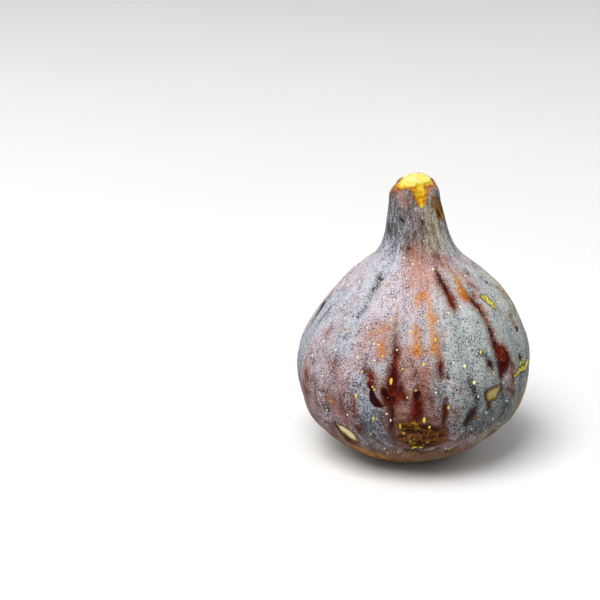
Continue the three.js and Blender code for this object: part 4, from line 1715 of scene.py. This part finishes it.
@dataclass
class Flecks(SmallPieces):
    """Corky flecks that stand on the skin, most of them longer up the ribs than across."""

    finish: FleckFinish = field(default_factory=FleckFinish)
    seed: int = 5
    scattered: int = 120
    from_at: float = 92.0
    to_at: float = 268.0
    lowest: float = 5.0
    highest: float = 52.0
    half_width: Range = (0.12, 0.26)
    slender: Range = (1.0, 2.0)
    stand: float = 0.35

    def build(self) -> bpy.types.Object:
        """Makes every fleck.

        Returns:
            One object with all the flecks.
        """
        rng = np.random.default_rng(self.seed)
        rows = [(*spot, *size.value) for size, spots in FRONT_FLECKS.items() for spot in spots]
        for _ in range(self.scattered):
            half = rng.uniform(*self.half_width)
            at, height = rng.uniform(self.from_at, self.to_at), rng.uniform(self.lowest, self.highest)
            rows.append((at, height, half, half * rng.uniform(*self.slender), rng.uniform()))
        seats = []
        for at, height, half, long, ripe in rows:
            middle, out, up = self.skin.spot(at, height)
            seats.append(Seat(middle, out, up, (half, long, self.stand * half), ripe))
        return self.grow("flecks", seats, self.finish.made())


@dataclass(frozen=True)
class Whorl:
    """A ring of scales: how many, how far out and how high their middles are, and where the first stands."""

    count: int
    reach: float
    height: float
    first: float


@dataclass
class EyeScales(SmallPieces):
    """The overlapping scales that close the eye under the fig, in whorls round its pore."""

    finish: ScaleFinish = field(default_factory=ScaleFinish)
    sides: int = 10
    rings: int = 6
    whorls: tuple[Whorl, ...] = (Whorl(8, 3.6, 1.05, 0), Whorl(6, 2.4, 0.8, 26), Whorl(5, 1.35, 0.6, 8))
    half_across: float = 1.35
    half_along: float = 1.45
    half_thick: float = 0.22
    # How far a scale tips, how far its turn and its tip stray, all in degrees, the range of its size on the
    # outer whorl, and the share of that size for a scale at the pore.
    tilt: float = 12.0
    turn_stray: float = 4.0
    tilt_stray: float = 3.0
    size_range: Range = (0.9, 1.05)
    inner_size: float = 0.6
    seed: int = 3

    def build(self) -> bpy.types.Object:
        """Makes every scale.

        Returns:
            One object with all the scales.
        """
        rng = np.random.default_rng(self.seed)
        seats = []
        for whorl in self.whorls:
            share = whorl.reach / self.whorls[0].reach
            for k in range(whorl.count):
                stray = rng.uniform(-self.turn_stray, self.turn_stray)
                turn = math.radians(whorl.first + 360 * k / whorl.count + stray)
                inward = np.array([-math.sin(turn), math.cos(turn), 0.0])
                tilt = math.radians(self.tilt + rng.uniform(-self.tilt_stray, self.tilt_stray))
                up = inward * math.cos(tilt) - np.array([0, 0, math.sin(tilt)])
                out = -inward * math.sin(tilt) - np.array([0, 0, math.cos(tilt)])
                size = rng.uniform(*self.size_range) * (self.inner_size + (1 - self.inner_size) * share)
                halves = (self.half_across * size, self.half_along * size, self.half_thick)
                middle = self.skin.axis_at(0.0) - inward * whorl.reach + np.array([0, 0, whorl.height])
                seats.append(Seat(middle, out, up, halves, rng.uniform()))
        return self.grow("eye_scales", seats, self.finish.made())


@dataclass
class StalkEnd(SmallPieces):
    """What stands on the cut of the stalk: the curled rim of dry skin, and the ends of its fibres."""

    finish: RimFinish = field(default_factory=RimFinish)
    flakes: int = 54
    bundles: int = 11
    # How far they stray from even steps round the cut, as a share of a step.
    stagger: float = 0.3
    # Flakes of the rim: how far they stray up or down, their half sizes, and how ripe they are.
    flake_stray: float = 0.1
    flake_across: Range = (0.16, 0.34)
    flake_up: Range = (0.08, 0.18)
    flake_out: Range = (0.04, 0.07)
    flake_ripe: Range = (0.4, 1.0)
    # Bundles of fibres: the ring they lie on and its spread, as shares of the cut, and their half sizes.
    ring: float = 0.8
    ring_spread: Range = (0.85, 1.15)
    bundle_half: Range = (0.1, 0.18)
    bundle_slender: Range = (1.0, 1.6)
    bundle_out: float = 0.06
    seed: int = 9

    def build(self) -> bpy.types.Object:
        """Makes the rim and the fibre ends.

        Returns:
            One object with all of them.
        """
        rng = np.random.default_rng(self.seed)
        seats = []
        for k in range(self.flakes):
            at = 360 * (k + rng.uniform(-self.stagger, self.stagger)) / self.flakes
            if abs(turn_between(at, 0.0)) < self.skin.tear_half:
                continue
            height = self.skin.skin_end(at) + rng.uniform(-self.flake_stray, self.flake_stray)
            middle, out, up = self.skin.spot(at, height)
            across, along = rng.uniform(*self.flake_across), rng.uniform(*self.flake_up)
            halves = (across, along, rng.uniform(*self.flake_out))
            seats.append(Seat(middle, out, up, halves, rng.uniform(*self.flake_ripe)))
        for k in range(self.bundles):
            at = 360 * (k + rng.uniform(-self.stagger, self.stagger)) / self.bundles
            middle, out, up = self.skin.cut_spot(at, self.ring * rng.uniform(*self.ring_spread))
            half = rng.uniform(*self.bundle_half)
            halves = (half, half * rng.uniform(*self.bundle_slender), self.bundle_out)
            seats.append(Seat(middle, out, up, halves, 0.0))
        return self.grow("stalk_end", seats, self.finish.made())


# ---------------------------------------------------------------------------------------------------------
# Studio
# ---------------------------------------------------------------------------------------------------------


@dataclass(frozen=True)
class Lamp:
    """A square soft light: its name, its place and side in metres, its power in watts and its tint."""

    name: str
    place: tuple[float, float, float]
    side: float
    watts: float
    tint: str


@dataclass
class Studio:
    """The floor, the soft lights and the camera. Lengths are in metres, but the lens is in millimetres."""

    floor_half: float = 6.0
    lens: float = 100.0
    elevation: float = 20.0
    distance: float = 0.3752
    # The camera aims left of the fig, so that the fig stands right of the picture's middle.
    aim: tuple[float, float, float] = (-0.02555, 0.00222, 0.03409)
    clip: Range = (0.01, 50.0)
    sky: float = 0.5
    # About the height of the fig's middle, which every lamp faces.
    lit_height: float = 0.03
    lamps: tuple[Lamp, ...] = (
        Lamp("key", (-0.27, -0.38, 0.85), 0.6, 14.0, "#ffffff"),
        Lamp("left rim", (-0.75, 0.35, 0.45), 0.5, 1.6, "#f4f8ff"),
        Lamp("right rim", (0.75, 0.30, 0.55), 0.5, 1.6, "#f4f8ff"),
    )
    finish: FloorFinish = field(default_factory=FloorFinish)

    def build(self) -> None:
        """Makes the floor, the world, the lights and the camera."""
        self._camera()
        self._floor()
        self._world()
        for lamp in self.lamps:
            self._hang(lamp)

    def _floor(self) -> None:
        """A wide flat floor at height 0."""
        h = self.floor_half / MM
        corners = np.array([(-h, -h, 0), (h, -h, 0), (h, h, 0), (-h, h, 0)], float)
        floor = mesh_object("studio_floor", corners, [(0, 1, 2, 3)])
        floor.data.materials.append(self.finish.made())

    def _world(self) -> None:
        """An even white surround."""
        world = bpy.data.worlds.new("studio")
        world.use_nodes = True
        background = world.node_tree.nodes["Background"].inputs
        background["Color"].default_value = (1, 1, 1, 1)
        background["Strength"].default_value = self.sky
        bpy.context.scene.world = world

    def _hang(self, lamp: Lamp) -> None:
        """Hangs a lamp so that it faces the fig.

        Args:
            lamp: what to hang.
        """
        data = bpy.data.lights.new(lamp.name, "AREA")
        data.size = lamp.side
        data.energy = lamp.watts
        data.color = linear(lamp.tint)[:3]
        light = bpy.data.objects.new(lamp.name, data)
        light.location = lamp.place
        way = Vector((0, 0, self.lit_height)) - Vector(lamp.place)
        light.rotation_euler = way.to_track_quat("-Z", "Y").to_euler()
        bpy.context.scene.collection.objects.link(light)

    def _camera(self) -> None:
        """A long lens, a little above the fig and straight in front of it."""
        data = bpy.data.cameras.new("camera")
        data.lens = self.lens
        data.clip_start, data.clip_end = self.clip
        camera = bpy.data.objects.new("camera", data)
        tilt = math.radians(self.elevation)
        back = Vector((0, -math.cos(tilt), math.sin(tilt)))
        camera.location = Vector(self.aim) + back * self.distance
        camera.rotation_euler = (-back).to_track_quat("-Z", "Y").to_euler()
        bpy.context.scene.collection.objects.link(camera)
        bpy.context.scene.camera = camera


def main() -> None:
    """Builds the studio and every piece in order, and reports each."""
    logging.basicConfig(level=logging.INFO, format="%(name)s: %(message)s")
    bpy.context.scene.view_settings.view_transform = "Standard"
    Studio().build()
    skin = FigSkin()
    for piece in (skin.build(), Flecks(skin).build(), EyeScales(skin).build(), StalkEnd(skin).build()):
        faces = sum(len(face.vertices) - 2 for face in piece.data.polygons)
        size = [round(side / MM, 1) for side in piece.dimensions]
        log.info("%s: %d triangles, size %s mm", piece.name, faces, size)


if __name__ == "__main__":
    main()
